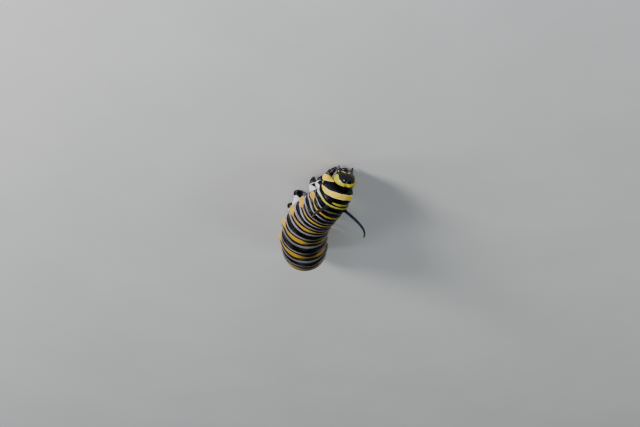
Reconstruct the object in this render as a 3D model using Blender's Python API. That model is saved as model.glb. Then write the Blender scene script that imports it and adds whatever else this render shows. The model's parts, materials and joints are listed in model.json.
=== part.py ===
"""Monarch larva, last instar: a still, life-size model standing on all its feet.

The animal faces -Y, its left side is +X and the floor is z = 0. It is drawn in millimetres and
scaled to metres at the end. A centreline runs tailwards through thirteen body segments, each
of them with its own length, width and direction, and every other piece is placed on the body
by a segment, a place along it and an angle round it from the middle of the back.
"""
import math

import bmesh
import bpy
import numpy as np
from mathutils import Matrix

METRES_PER_MM = 0.001
GAP = 0.3  # left between two pieces that meet

# Body segments from front to back: length and half width in mm, then three angles in degrees:
# heading (how far the tailward axis leans to the left), pitch (how far it climbs) and twist
# (how far the left side is rolled upwards).
SEGMENTS = {
    "thorax_1": (1.95, 2.42, 32, 27, 14),
    "thorax_2": (1.7, 2.85, 37, 15, 13),
    "thorax_3": (1.7, 3.10, 40, 11, 6),
    "abdomen_1": (1.85, 3.30, 37, 12, 2),
    "abdomen_2": (2.35, 3.45, 27, 13, 0),
    "abdomen_3": (3.0, 3.52, 13, 11, 0),
    "abdomen_4": (3.4, 3.55, 2, 5, 0),
    "abdomen_5": (3.4, 3.48, -3, -12, 0),
    "abdomen_6": (3.1, 3.30, -3, -30, 0),
    "abdomen_7": (2.7, 2.95, -2, -27, 0),
    "abdomen_8": (2.3, 2.52, 0, -14, 0),
    "abdomen_9": (1.3, 2.12, 1, -5, 0),
    "abdomen_10": (1.8, 1.75, 3, -2, 0),
}
FRONT_HALF_WIDTH = 1.95  # of the body where the head joins
ANCHOR = "abdomen_4"
ANCHOR_AT = (2.84, 0.63, 6.15)  # middle of that segment, which centres the model on its origin

HEIGHT_SHARE = 0.97  # height of a section over its width
BELLY_SHARE = 0.95  # the belly is a little flatter than the back
CREASE_DEPTH = 0.2  # of the groove between two segments
CREASE_REACH = 0.38
FOLD_DEPTH = 0.36  # of the swelling low on each side of a segment
FOLD_ANGLE = 102  # from the middle of the back
FOLD_SPREAD = 17
LOBE_DEPTH = 0.5  # of the swelling on each side just behind the head
LOBE_AT = 0.5
LOBE_REACH = 0.75
LOBE_ANGLE = 122
LOBE_SPREAD = 26
ROUND_SIDES = 36
RINGS_IN_SEGMENT = 8

HEAD_HALF_WIDTH = 1.74
HEAD_HALF_HEIGHT = 1.75
HEAD_HALF_DEPTH = 1.3
HEAD_HEADING = 18
HEAD_PITCH = 30  # the face looks this far below level
HEAD_AHEAD = 0.8  # from the front of the body to the middle of the head
HEAD_TO_RIGHT = 0.25  # how far the bowed head is carried towards its right side
HEAD_CLEFT = 0.2  # depth of the groove between the two lobes of the crown
HEAD_CLEFT_SPREAD = 12

LEG_ANGLE = 146  # where a true leg leaves the body, from the middle of the back
LEG_DEPTH = 0.5  # how far its root is sunk in the body before it is cut back
LEG_ROOT_RADIUS = 0.52
LEG_TIP_RADIUS = 0.2
LEG_TAPER = 1.5  # the thickness is lost mostly towards the tip
LEG_BASE_SWELL = 0.26  # how much wider the fleshy base is than the horny part
LEG_BASE_SHARE = 0.3
LEG_JOINT_SWELL = 0.05  # how far the knuckles stand out between the lengths of a leg
LEG_JOINTS = 3
LEG_KNEE = (1.25, 0.25)  # out from the root, then as a share of the way to the foot
LEG_ANKLE = (0.75, 0.12)  # up from the foot, then as a share of the way from the root
LEG_RINGS = 13
LEG_SIDES = 12
SOLE_RINGS = 2  # rings at the end of a leg that lie level
# Feet of the true legs: outwards from the centreline, forwards of their segment's middle, and
# up from the floor. The second left one is held clear of it.
LEG_FEET = {
    "leg_1_left": ("thorax_1", 1.15, 0.95, 0),
    "leg_1_right": ("thorax_1", 1.75, 0.85, 0),
    "leg_2_left": ("thorax_2", 1.7, -0.15, 0.5),
    "leg_2_right": ("thorax_2", 1.75, 0.45, 0),
    "leg_3_left": ("thorax_3", 2.0, -0.4, 0),
    "leg_3_right": ("thorax_3", 2.05, 0.1, 0),
}

PROLEG_ANGLE = 150
PROLEG_DEPTH = 0.9
PROLEG_SIDES = 18
PROLEG_SOLE_RINGS = 4
PROLEG_RADII = (1.08, 1.02, 0.94, 0.82, 0.68, 0.66, 0.74, 0.74, 0.66)
PROLEG_AT = (0.0, 0.25, 0.42, 0.6, 0.75, 0.83, 0.9, 0.95, 1.0)  # shares of the way to the floor
# Feet of the prolegs: outwards from the centreline, and forwards of their segment's middle.
PROLEG_FEET = {
    "abdomen_3": (1.55, 1.3),
    "abdomen_4": (2.0, 0.4),
    "abdomen_5": (2.05, 0.0),
    "abdomen_6": (1.9, -0.2),
}
CLASPER_ANGLE = 135
CLASPER_FOOT = (1.35, -0.75)
CLASPER_SIZE = 0.78  # beside a proleg of the middle of the body
SIDES = {"left": 1, "right": -1}

TENTACLE_SIDES = 12
TENTACLE_RINGS = 8  # in each length
TENTACLE_DEPTH = 0.6
TENTACLE_ROOT_RADIUS = 0.3
TENTACLE_TIP_RADIUS = 0.12

# Tentacles: the segment they grow on, the place in it, the angle from the middle of the back,
# the number of lengths they are parted into, and the way that they bend, as the last three
# control points of a curve, in mm from the root along +X, +Y and +Z.
TENTACLES = {
    "front_left": (
        "thorax_2", 0.62, 40, 3, ((0.9, -2.1, 1.5), (2.1, -4.3, 3.0), (2.2, -6.2, 4.9)),
    ),
    "front_right": (
        "thorax_2", 0.62, -40, 3, ((-1.2, -1.4, 2.0), (-3.5, -2.8, 4.6), (-2.7, -3.9, 6.6)),
    ),
    "rear_left": (
        "abdomen_8", 0.55, 38, 2, ((0.2, 0.9, 0.3), (0.7, 2.4, -0.4), (0.7, 3.6, -1.8)),
    ),
    "rear_right": (
        "abdomen_8", 0.55, -38, 2, ((-0.2, 0.9, 0.3), (-0.5, 2.3, -0.5), (-0.6, 3.4, -1.9)),
    ),
}

# Mouthparts: left, forward and up of the middle of the head, then their half sizes, in mm.
LABRUM = ((0, 1.05, -1.5), (0.5, 0.3, 0.36))
LABIUM = ((0, -0.12, -2.0), (0.42, 0.32, 0.36))
PALP = ((0.34, 0.1, -2.1), (0.16, 0.16, 0.26))
SPINNERET = ((0, 0.16, -2.18), (0.13, 0.16, 0.26))
MANDIBLE = ((0.5, 0.5, -1.85), (0.34, 0.42, 0.46))
FEELER_ROOT = (0.9, 0.75, -1.1)
FEELER_TIP = (1.15, 1.6, -1.55)
FEELER_RADII = (0.3, 0.3, 0.26, 0.26, 0.2, 0.2, 0.12)


class Centreline:
    """The line through the middle of the body, with its frame and half width at any place."""

    STEP = 0.05

    def __init__(self):
        rows = np.array(list(SEGMENTS.values()), float)
        length, half_width, heading, pitch, twist = rows.T
        self.ends = np.concatenate([[0.0], np.cumsum(length)])
        middles = (self.ends[:-1] + self.ends[1:]) / 2
        self.along = np.linspace(0, self.ends[-1], round(self.ends[-1] / self.STEP))
        heading, pitch, self.twist = (
            np.radians(smooth(middles, angle, self.along)) for angle in (heading, pitch, twist)
        )
        knots = np.concatenate([[0.0], middles])
        self.half_width = smooth(knots, np.append(FRONT_HALF_WIDTH, half_width), self.along)
        level = np.cos(pitch)
        self.axis = np.stack(
            [np.sin(heading) * level, np.cos(heading) * level, np.sin(pitch)], axis=1
        )
        steps = (self.axis[1:] + self.axis[:-1]) / 2 * (self.along[1] - self.along[0])
        self.point = np.vstack([np.zeros(3), np.cumsum(steps, axis=0)])
        self.left = np.stack([np.cos(heading), -np.sin(heading), np.zeros_like(heading)], axis=1)
        self.up = np.cross(self.left, self.axis)
        self.point += np.array(ANCHOR_AT) - self.at(self.middle(ANCHOR))[0]

    def middle(self, segment, share=0.5):
        """Distance along the centreline to a place in a segment, given as a share of it."""
        i = list(SEGMENTS).index(segment)
        return self.ends[i] + share * (self.ends[i + 1] - self.ends[i])

    def at(self, s):
        """Point, axis, left, up, half width and twist at distance s, past the ends in a line."""
        inside = np.clip(s, 0, self.ends[-1])

        def read(values):
            columns = values.reshape(len(self.along), -1).T
            return np.array([np.interp(inside, self.along, column) for column in columns])

        point, axis, left, up = (read(v) for v in (self.point, self.axis, self.left, self.up))
        half_width, twist = read(self.half_width)[0], read(self.twist)[0]
        return point + axis * (s - inside), axis, left, up, half_width, twist


def smooth(knots, values, at):
    """A curve through the knots with no overshoot: cubic pieces, harmonic-mean slopes."""
    knots, values = np.asarray(knots, float), np.asarray(values, float)
    width = np.diff(knots)
    slope = np.diff(values) / width
    product = slope[:-1] * slope[1:]
    safe = np.where(product > 0, slope[:-1] + slope[1:], 1.0)
    inner = np.where(product > 0, 2 * product / safe, 0.0)
    tangent = np.concatenate([slope[:1], inner, slope[-1:]])
    i = np.clip(np.searchsorted(knots, at) - 1, 0, len(width) - 1)
    t = (at - knots[i]) / width[i]
    from_left = values[i] + t * width[i] * tangent[i]
    from_right = values[i + 1] - (1 - t) * width[i] * tangent[i + 1]
    blend = t * t * (3 - 2 * t)
    return from_left * (1 - blend) + from_right * blend


def bell(x, spread):
    """1 at x = 0, falling off to nothing within about twice the spread."""
    return np.exp(-((x / spread) ** 2))


def ring(line, s, angles, grow=0.0):
    """Points round the body at distance s, at angles in radians from the middle of the back."""
    point, _, left, up, half_width, twist = line.at(s)
    i = int(np.clip(np.searchsorted(line.ends, s) - 1, 0, len(SEGMENTS) - 1))
    start, end = line.ends[i], line.ends[i + 1]
    share = np.clip((s - start) / (end - start), 0, 1)
    creases = line.ends[1:-1]
    crease = CREASE_DEPTH * bell(np.min(np.abs(creases - s)), CREASE_REACH)
    fold = FOLD_DEPTH * np.sin(np.pi * share) ** 2
    off_fold = np.degrees(np.abs(np.angle(np.exp(1j * angles)))) - FOLD_ANGLE
    off_lobe = off_fold + FOLD_ANGLE - LOBE_ANGLE
    lobe = LOBE_DEPTH * bell(s - LOBE_AT, LOBE_REACH) * bell(off_lobe, LOBE_SPREAD)
    radius = half_width - crease + fold * bell(off_fold, FOLD_SPREAD) + lobe
    tail = line.middle("abdomen_10", 0.2)
    if s > tail:
        radius = radius * math.sqrt(max(0.0, 1 - ((s - tail) / (line.ends[-1] - tail)) ** 2))
    sideways = (radius + grow) * np.sin(angles)
    height = (radius + grow) * np.cos(angles) * HEIGHT_SHARE
    height = np.where(height < 0, height * BELLY_SHARE, height)
    turned = np.cos(twist), np.sin(twist)
    across = turned[0] * left + turned[1] * up
    upward = turned[0] * up - turned[1] * left
    return point + np.outer(sideways, across) + np.outer(height, upward)


def round_angles(sides):
    return np.arange(sides) * 2 * np.pi / sides


def clear_scene():
    for thing in list(bpy.data.objects):
        bpy.data.objects.remove(thing, do_unlink=True)


def make_material(name, colour, roughness):
    material = bpy.data.materials.new(name)
    material.use_nodes = True
    shader = material.node_tree.nodes["Principled BSDF"]
    shader.inputs["Base Color"].default_value = (*colour, 1)
    shader.inputs["Roughness"].default_value = roughness
    shader.inputs["Metallic"].default_value = 0
    material.diffuse_color = (*colour, 1)
    return material


def make_object(name, mesh, material):
    made = bpy.data.objects.new(name, mesh)
    bpy.context.collection.objects.link(made)
    made.data.materials.clear()
    made.data.materials.append(material)
    return made


def loft(name, rings, material):
    """A closed solid through a list of rings that hold the same number of points."""
    rings = np.asarray(rings)
    count, sides = rings.shape[:2]
    work = bmesh.new()
    loops = [[work.verts.new(p) for p in points] for points in rings]
    for a, b in zip(loops[:-1], loops[1:]):
        for k in range(sides):
            n = (k + 1) % sides
            work.faces.new((a[k], a[n], b[n], b[k]))
    for loop, points in ((loops[0], rings[0]), (loops[-1], rings[-1])):
        middle = work.verts.new(points.mean(axis=0))
        for k in range(sides):
            work.faces.new((loop[k], loop[(k + 1) % sides], middle))
    bmesh.ops.recalc_face_normals(work, faces=work.faces)
    mesh = bpy.data.meshes.new(name)
    work.to_mesh(mesh)
    work.free()
    return make_object(name, mesh, material)


def path_rings(points, radii, sides, level=0):
    """Rings square to a path; a number of the last ones lie level, as a sole on the floor."""
    points = np.asarray(points, float)
    along = np.gradient(points, axis=0)
    along /= np.linalg.norm(along, axis=1, keepdims=True)
    if level:
        along[-level:] = (0, 0, -1)
    reference = np.array((0.0, 1.0, 0.0))
    angles = round_angles(sides)
    rings = []
    for point, direction, radius in zip(points, along, radii):
        first = np.cross(direction, reference)
        first /= np.linalg.norm(first)
        second = np.cross(direction, first)
        wheel = np.outer(np.cos(angles), first) + np.outer(np.sin(angles), second)
        rings.append(point + radius * wheel)
    return rings


def bezier(points, count, start=0.0, end=1.0):
    """Points on the cubic curve of four control points, between two shares of its way."""
    t = np.linspace(start, end, count)[:, None]
    a, b, c, d = (np.asarray(p, float) for p in points)
    return (1 - t) ** 3 * a + 3 * (1 - t) ** 2 * t * b + 3 * (1 - t) * t**2 * c + t**3 * d


def apply_boolean(thing, other, operation, solver="EXACT"):
    """Replaces a piece's mesh by its Boolean with another object or a collection of objects."""
    modifier = thing.modifiers.new("cut", "BOOLEAN")
    modifier.operation = operation
    modifier.solver = solver
    if isinstance(other, bpy.types.Collection):
        modifier.operand_type = "COLLECTION"
        modifier.collection = other
    else:
        modifier.object = other
    shape = bpy.data.meshes.new_from_object(
        thing.evaluated_get(bpy.context.evaluated_depsgraph_get())
    )
    thing.modifiers.clear()
    thing.data = shape
    keep_largest(shape)


def keep_largest(mesh):
    """Leaves the surface with the most volume in a mesh and drops any loose scrap."""
    work = bmesh.new()
    work.from_mesh(mesh)
    unseen = set(work.verts)
    islands = []
    while unseen:
        grown, front = set(), [unseen.pop()]
        while front:
            vertex = front.pop()
            grown.add(vertex)
            near = {edge.other_vert(vertex) for edge in vertex.link_edges} & unseen
            unseen -= near
            front.extend(near)
        islands.append(grown)
    islands.sort(key=island_size)
    for island in islands[:-1]:
        bmesh.ops.delete(work, geom=list(island), context="VERTS")
    work.to_mesh(mesh)
    work.free()


def island_size(island):
    corners = np.array([vertex.co[:] for vertex in island])
    return float(np.prod(np.ptp(corners, axis=0)))


def join_pieces(first, others):
    """Fuses several closed pieces into the first by one union, and removes the others."""
    group = bpy.data.collections.new(first.name + "_pieces")
    for piece in others:
        group.objects.link(piece)
    bpy.context.scene.collection.children.link(group)
    apply_boolean(first, group, "UNION")
    for piece in others:
        bpy.data.objects.remove(piece, do_unlink=True)
    bpy.data.collections.remove(group)


def make_body(line, skin):
    """One lofted solid for each body segment, with the gap at every groove between two."""
    angles = round_angles(ROUND_SIDES)
    for i, name in enumerate(SEGMENTS):
        start = line.ends[i] + (GAP / 2 if i else 0)
        last = i == len(SEGMENTS) - 1
        end = line.ends[i + 1] - (0.04 if last else GAP / 2)
        share = np.linspace(0, 1, RINGS_IN_SEGMENT + 2 * last)
        share = np.sin(share * np.pi / 2) if last else share
        stations = start + share * (end - start)
        loft(name, [ring(line, s, angles) for s in stations], skin)


def make_clearance(line, material):
    """The whole body grown by the gap, used to cut back what meets the body."""
    angles = round_angles(ROUND_SIDES)
    count = RINGS_IN_SEGMENT * len(SEGMENTS)
    stations = np.linspace(-GAP, line.ends[-1] - 0.05, count)
    rings = [ring(line, s, angles, GAP) for s in stations]
    cutter = loft("clearance", rings, material)
    cutter.hide_render = True
    cutter.display_type = "WIRE"
    return cutter


def head_frame(line):
    """Middle of the head with its left, forward and up directions."""
    heading, pitch = math.radians(HEAD_HEADING), math.radians(HEAD_PITCH)
    forward = np.array(
        (-math.sin(heading) * math.cos(pitch), -math.cos(heading) * math.cos(pitch), -math.sin(pitch))
    )
    left = np.array((math.cos(heading), -math.sin(heading), 0.0))
    up = np.cross(left, forward)
    middle = line.point[0] + HEAD_AHEAD * forward - HEAD_TO_RIGHT * left
    return middle, left, forward, up * np.sign(up[2])


def in_head(frame, left, forward, up):
    """World place of a point given as left, forward and up of the middle of the head."""
    middle, to_left, to_front, upward = frame
    return middle + left * to_left + forward * to_front + up * upward


def head_shape(frame, grow, name, material, sides=32, rings=16):
    """A rounded capsule parted at the crown into two lobes, its axis running front to back."""
    turn = round_angles(sides)
    loops = []
    for polar in np.linspace(0.12, math.pi - 0.12, rings):
        radius = math.sin(polar) ** 0.8
        cleft = HEAD_CLEFT * bell(np.degrees(np.angle(np.exp(1j * turn))), HEAD_CLEFT_SPREAD)
        wide = (HEAD_HALF_WIDTH + grow) * radius * np.sin(turn)
        high = (HEAD_HALF_HEIGHT + grow - cleft) * radius * np.cos(turn)
        deep = (HEAD_HALF_DEPTH + grow) * math.cos(polar)
        loops.append([in_head(frame, w, deep, h) for w, h in zip(wide, high)])
    return loft(name, loops, material)


def ellipsoid(name, frame, place, size, material, sides=12, rings=7):
    """A small rounded piece of the mouth, placed and sized in the head's own directions."""
    turn = round_angles(sides)
    loops = []
    for polar in np.linspace(0.2, math.pi - 0.2, rings):
        across = place[0] + size[0] * math.sin(polar) * np.cos(turn)
        deep = place[1] + size[1] * math.sin(polar) * np.sin(turn)
        high = place[2] + size[2] * math.cos(polar)
        loops.append([in_head(frame, a, d, high) for a, d in zip(across, deep)])
    return loft(name, loops, material)


def make_head(line, horn, clearance):
    """Head capsule, upper lip, jaws, lower mouthparts and feelers."""
    frame = head_frame(line)
    head = head_shape(frame, 0.0, "head", horn)
    apply_boolean(head, clearance, "DIFFERENCE")
    room = head_shape(frame, GAP, "head_room", horn)
    labium = ellipsoid("labium", frame, *LABIUM, horn)
    lobes = [ellipsoid("spinneret", frame, *SPINNERET, horn)]
    pieces = [labium, ellipsoid("labrum", frame, *LABRUM, horn)]
    for side, sign in SIDES.items():
        mirror = np.array((sign, 1, 1))
        lobes.append(ellipsoid("palp_" + side, frame, PALP[0] * mirror, PALP[1], horn))
        pieces.append(
            ellipsoid("mandible_" + side, frame, MANDIBLE[0] * mirror, MANDIBLE[1], horn)
        )
        root, tip = (in_head(frame, *(p * mirror)) for p in (FEELER_ROOT, FEELER_TIP))
        feeler_path = np.linspace(root, tip, len(FEELER_RADII))
        feeler_rings = path_rings(feeler_path, FEELER_RADII, TENTACLE_SIDES)
        pieces.append(loft("antenna_" + side, feeler_rings, horn))
    join_pieces(labium, lobes)
    for piece in pieces:
        apply_boolean(piece, room, "DIFFERENCE")
    bpy.data.objects.remove(room, do_unlink=True)


def on_body(line, segment, share, angle, depth=0.0):
    """A place on the body's surface, sunk by a depth, and the outward direction there."""
    s = line.middle(segment, share)
    point = ring(line, s, np.array([math.radians(angle)]))[0]
    outward = point - line.at(s)[0]
    outward /= np.linalg.norm(outward)
    return point - depth * outward, outward


def foot_place(line, segment, sideways, ahead, height=0.0):
    """The place beside the middle of a segment where a foot ends; sideways is to the left."""
    point, axis, left = line.at(line.middle(segment))[:3]
    flat = np.array((axis[0], axis[1], 0.0)) / np.linalg.norm(axis[:2])
    foot = point + sideways * left - ahead * flat
    foot[2] = height
    return foot


def make_legs(line, horn, clearance):
    """Six true legs: a tapered limb with knuckles that bends down to a small flat tip."""
    way = np.linspace(0, 1, LEG_RINGS)
    radii = LEG_ROOT_RADIUS + (LEG_TIP_RADIUS - LEG_ROOT_RADIUS) * way**LEG_TAPER
    radii += LEG_JOINT_SWELL * np.cos(2 * np.pi * LEG_JOINTS * way) * (1 - way)
    radii += LEG_BASE_SWELL * bell(way, LEG_BASE_SHARE)
    for name, (segment, outwards, ahead, height) in LEG_FEET.items():
        sign = SIDES[name.split("_")[-1]]
        root, outward = on_body(line, segment, 0.45, sign * LEG_ANGLE, depth=LEG_DEPTH)
        foot = foot_place(line, segment, sign * outwards, ahead, height)
        knee = root + LEG_KNEE[0] * outward + LEG_KNEE[1] * (foot - root)
        ankle = foot + (0, 0, LEG_ANKLE[0]) + LEG_ANKLE[1] * (foot - root) * (1, 1, 0)
        path = bezier((root, knee, ankle, foot), LEG_RINGS)
        leg = loft(name, path_rings(path, radii, LEG_SIDES, level=SOLE_RINGS), horn)
        apply_boolean(leg, clearance, "DIFFERENCE")


def make_proleg(line, name, segment, angle, place, size, skin, clearance):
    """A fleshy false leg: a cone from the belly, a waist and a broad flat sole."""
    sideways, ahead = place
    root, _ = on_body(line, segment, 0.5, angle, depth=PROLEG_DEPTH)
    foot = foot_place(line, segment, sideways, ahead)
    path = [root + (foot - root) * share for share in PROLEG_AT]
    radii = [size * radius for radius in PROLEG_RADII]
    proleg = loft(name, path_rings(path, radii, PROLEG_SIDES, level=PROLEG_SOLE_RINGS), skin)
    apply_boolean(proleg, clearance, "DIFFERENCE")


def make_prolegs(line, skin, clearance):
    for segment, (outwards, ahead) in PROLEG_FEET.items():
        for side, sign in SIDES.items():
            name = f"proleg_{segment.split('_')[1]}_{side}"
            place = (sign * outwards, ahead)
            make_proleg(line, name, segment, sign * PROLEG_ANGLE, place, 1.0, skin, clearance)
    for side, sign in SIDES.items():
        name = f"clasper_{side}"
        place = (sign * CLASPER_FOOT[0], CLASPER_FOOT[1])
        angle = sign * CLASPER_ANGLE
        make_proleg(line, name, "abdomen_10", angle, place, CLASPER_SIZE, skin, clearance)


def make_tentacles(line, skin, clearance):
    """Soft feelers on the back, each parted into lengths that meet face to face."""
    for name, (segment, share, angle, lengths, bend) in TENTACLES.items():
        root, outward = on_body(line, segment, share, angle, depth=TENTACLE_DEPTH)
        surface = root + TENTACLE_DEPTH * outward
        controls = [root] + [surface + offset for offset in bend]
        reach = np.linalg.norm(np.diff(bezier(controls, 60), axis=0), axis=1).sum()
        half_gap = GAP / 2 / reach
        for number in range(lengths):
            start = number / lengths + (half_gap if number else 0)
            last = number == lengths - 1
            end = (number + 1) / lengths - (0 if last else half_gap)
            path = bezier(controls, TENTACLE_RINGS, start, end)
            way = np.linspace(start, end, len(path))
            radii = TENTACLE_ROOT_RADIUS + (TENTACLE_TIP_RADIUS - TENTACLE_ROOT_RADIUS) * way**2
            piece = loft(
                f"tentacle_{name}_{number + 1}", path_rings(path, radii, TENTACLE_SIDES), skin
            )
            if number == 0:
                apply_boolean(piece, clearance, "DIFFERENCE")


def to_metres():
    """Scales every mesh from millimetres to metres and smooths its shading."""
    for thing in bpy.data.objects:
        thing.data.transform(Matrix.Scale(METRES_PER_MM, 4))
        thing.data.shade_smooth()


def build():
    clear_scene()
    line = Centreline()
    skin = make_material("banded skin", (0.42, 0.36, 0.16), 0.45)
    black_skin = make_material("black skin", (0.02, 0.018, 0.022), 0.4)
    horn = make_material("black horn", (0.012, 0.011, 0.014), 0.22)
    clearance = make_clearance(line, skin)
    make_body(line, skin)
    make_head(line, horn, clearance)
    make_legs(line, horn, clearance)
    make_prolegs(line, black_skin, clearance)
    make_tentacles(line, black_skin, clearance)
    bpy.data.objects.remove(clearance, do_unlink=True)
    to_metres()


build()
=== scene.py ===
# %% [markdown]
# # A monarch larva from its centreline outwards
#
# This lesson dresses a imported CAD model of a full-grown monarch larva. The solids say how large
# each part is and where it sits. The cells below add what they leave out: one soft skin with its
# folds and bands, a head with eyes and mouthparts, jointed legs, hooks, feelers and hairs.
# Lengths are in millimetres while a piece is shaped, and turn to metres when its mesh is made.
# The larva faces -Y, its left side is +X, and it stands on z = 0.

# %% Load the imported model
import json

import bpy
import numpy as np
from mathutils import Matrix

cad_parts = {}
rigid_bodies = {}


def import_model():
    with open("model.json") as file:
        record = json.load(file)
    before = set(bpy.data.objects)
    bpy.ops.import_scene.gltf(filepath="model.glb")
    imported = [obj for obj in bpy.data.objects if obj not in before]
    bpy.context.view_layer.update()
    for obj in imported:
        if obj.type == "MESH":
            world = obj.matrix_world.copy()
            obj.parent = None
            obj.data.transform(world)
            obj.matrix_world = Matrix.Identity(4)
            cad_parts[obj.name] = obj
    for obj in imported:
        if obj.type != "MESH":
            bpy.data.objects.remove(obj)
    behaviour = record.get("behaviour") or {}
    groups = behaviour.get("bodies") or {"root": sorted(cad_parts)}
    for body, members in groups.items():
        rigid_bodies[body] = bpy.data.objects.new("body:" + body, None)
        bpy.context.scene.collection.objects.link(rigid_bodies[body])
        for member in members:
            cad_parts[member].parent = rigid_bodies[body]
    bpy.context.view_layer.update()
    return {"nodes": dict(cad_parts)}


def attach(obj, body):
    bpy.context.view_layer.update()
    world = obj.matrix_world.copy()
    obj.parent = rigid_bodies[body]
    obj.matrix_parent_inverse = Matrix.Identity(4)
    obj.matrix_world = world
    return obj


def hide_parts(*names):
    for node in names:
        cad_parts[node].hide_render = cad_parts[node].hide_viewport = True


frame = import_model()
MM = 0.001
SIDES = {"left": 1, "right": -1}
print("solids to dress:", len(frame["nodes"]))

# %% [markdown]
# ## Camera
#
# The picture was taken from in front of the animal and a little above it, with the camera turned
# over, so that the back points down the picture. A camera is placed by its own three directions:
# right, up and backwards. Writing them as the columns of a matrix states the roll outright,
# where aiming the camera at a target would leave it to chance.

# %% Camera
FOCUS = np.array((2.84, 0.63, 6.15))  # the middle of the body, in mm
FOCUS_PIXEL = (303.7, 240.0)
PICTURE = (640, 427)
ELEVATION = np.radians(28)
DISTANCE = 280.0
SENSOR = 36.0
LENS = 99.68
CLIP_START = 0.01


def in_scene(name, data):
    """An object that holds the data, linked into the scene."""
    thing = bpy.data.objects.new(name, data)
    bpy.context.scene.collection.objects.link(thing)
    return thing


def stance(right, up, back, place):
    """The matrix whose columns are three directions and a place, which is given in mm."""
    matrix = np.eye(4)
    matrix[:3] = np.stack([right, up, back, np.asarray(place, float) * MM], axis=1)
    return Matrix(matrix.tolist())


camera_right = np.array((-1.0, 0.0, 0.0))
camera_back = np.array((0.0, -np.cos(ELEVATION), np.sin(ELEVATION)))
camera_up = np.cross(camera_back, camera_right)
pixel = DISTANCE * SENSOR / LENS / PICTURE[0]
across, down = (np.array(PICTURE) / 2 - FOCUS_PIXEL) * pixel
eye = FOCUS + DISTANCE * camera_back + across * camera_right - down * camera_up
camera = in_scene("camera", bpy.data.cameras.new("camera"))
camera.matrix_world = stance(camera_right, camera_up, camera_back, eye)
camera.data.sensor_width = SENSOR
camera.data.lens = LENS
camera.data.clip_start = CLIP_START
bpy.context.scene.camera = camera
print("eye, mm:", np.round(eye, 1), "mm in a pixel:", round(pixel, 3))

# %% [markdown]
# ## The centreline
#
# The body is a soft tube of three thoracic and ten abdominal segments. It could be sculpted as a
# blob, but a larva is easier to describe along its length. So the line through its middle comes
# first. Each segment has a length, a half width, and three angles that turn its axis: heading
# to the left, pitch upwards, and twist about itself. A smooth curve joins the values, and adding
# up short steps along the axis gives the line. The values are those of the solids.

# %% Centreline
SEGMENTS = {
    "thorax_1": (1.95, 2.42, 32, 27, 14),
    "thorax_2": (1.7, 2.85, 37, 15, 13),
    "thorax_3": (1.7, 3.10, 40, 11, 6),
    "abdomen_1": (1.85, 3.30, 37, 12, 2),
    "abdomen_2": (2.35, 3.45, 27, 13, 0),
    "abdomen_3": (3.0, 3.52, 13, 11, 0),
    "abdomen_4": (3.4, 3.55, 2, 5, 0),
    "abdomen_5": (3.4, 3.48, -3, -12, 0),
    "abdomen_6": (3.1, 3.30, -3, -30, 0),
    "abdomen_7": (2.7, 2.95, -2, -27, 0),
    "abdomen_8": (2.3, 2.52, 0, -14, 0),
    "abdomen_9": (1.3, 2.12, 1, -5, 0),
    "abdomen_10": (1.8, 1.75, 3, -2, 0),
}
NAMES = list(SEGMENTS)
FRONT_HALF_WIDTH = 1.95
LINE_STEP = 0.05
HEIGHT_SHARE = 0.97  # height of a section over its width
BELLY_SHARE = 0.95
FOLD_DEPTH = 0.36  # of the swelling low on each side of a segment
FOLD_ANGLE = 102
FOLD_SPREAD = 17
LOBE_DEPTH = 0.5  # of the swelling on each side just behind the head
LOBE_AT = 0.5
LOBE_REACH = 0.75
LOBE_ANGLE = 122
LOBE_SPREAD = 26
TAIL_SHARE = 0.2  # of the last segment, where the rounding of the tail starts


def smooth_curve(knots, values, at):
    """Cubic pieces through the knots: each slope is the harmonic mean of its two neighbours."""
    knots = np.asarray(knots, float)
    values = np.asarray(values, float)
    width = np.diff(knots)
    slope = np.diff(values) / width
    product = slope[:-1] * slope[1:]
    total = np.where(product > 0, slope[:-1] + slope[1:], 1.0)
    inner = np.where(product > 0, 2 * product / total, 0.0)
    tangent = np.concatenate([slope[:1], inner, slope[-1:]])
    i = np.clip(np.searchsorted(knots, at) - 1, 0, len(width) - 1)
    t = (at - knots[i]) / width[i]
    from_left = values[i] + t * width[i] * tangent[i]
    from_right = values[i + 1] - (1 - t) * width[i] * tangent[i + 1]
    blend = t * t * (3 - 2 * t)
    return from_left * (1 - blend) + from_right * blend


def bell(x, spread):
    """e to the minus (x over spread) squared: 1 at the middle, nearly 0 at twice the spread."""
    return np.exp(-((x / spread) ** 2))


def ramp(x, low, high):
    """0 below low, 1 above high, and a smooth S between them: 3 t squared minus 2 t cubed."""
    t = np.clip((x - low) / (high - low), 0.0, 1.0)
    return t * t * (3 - 2 * t)


def unit(rows):
    """Directions of length one: each row over the root of its summed squares."""
    return rows / np.linalg.norm(rows, axis=-1, keepdims=True)


def full_turn(columns):
    """Even angles round a full turn."""
    return np.arange(columns) * 2 * np.pi / columns


def off_top(angle):
    """Degrees from the top to an angle in radians, the shorter way round."""
    return np.degrees(np.abs(np.angle(np.exp(1j * angle))))


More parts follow.
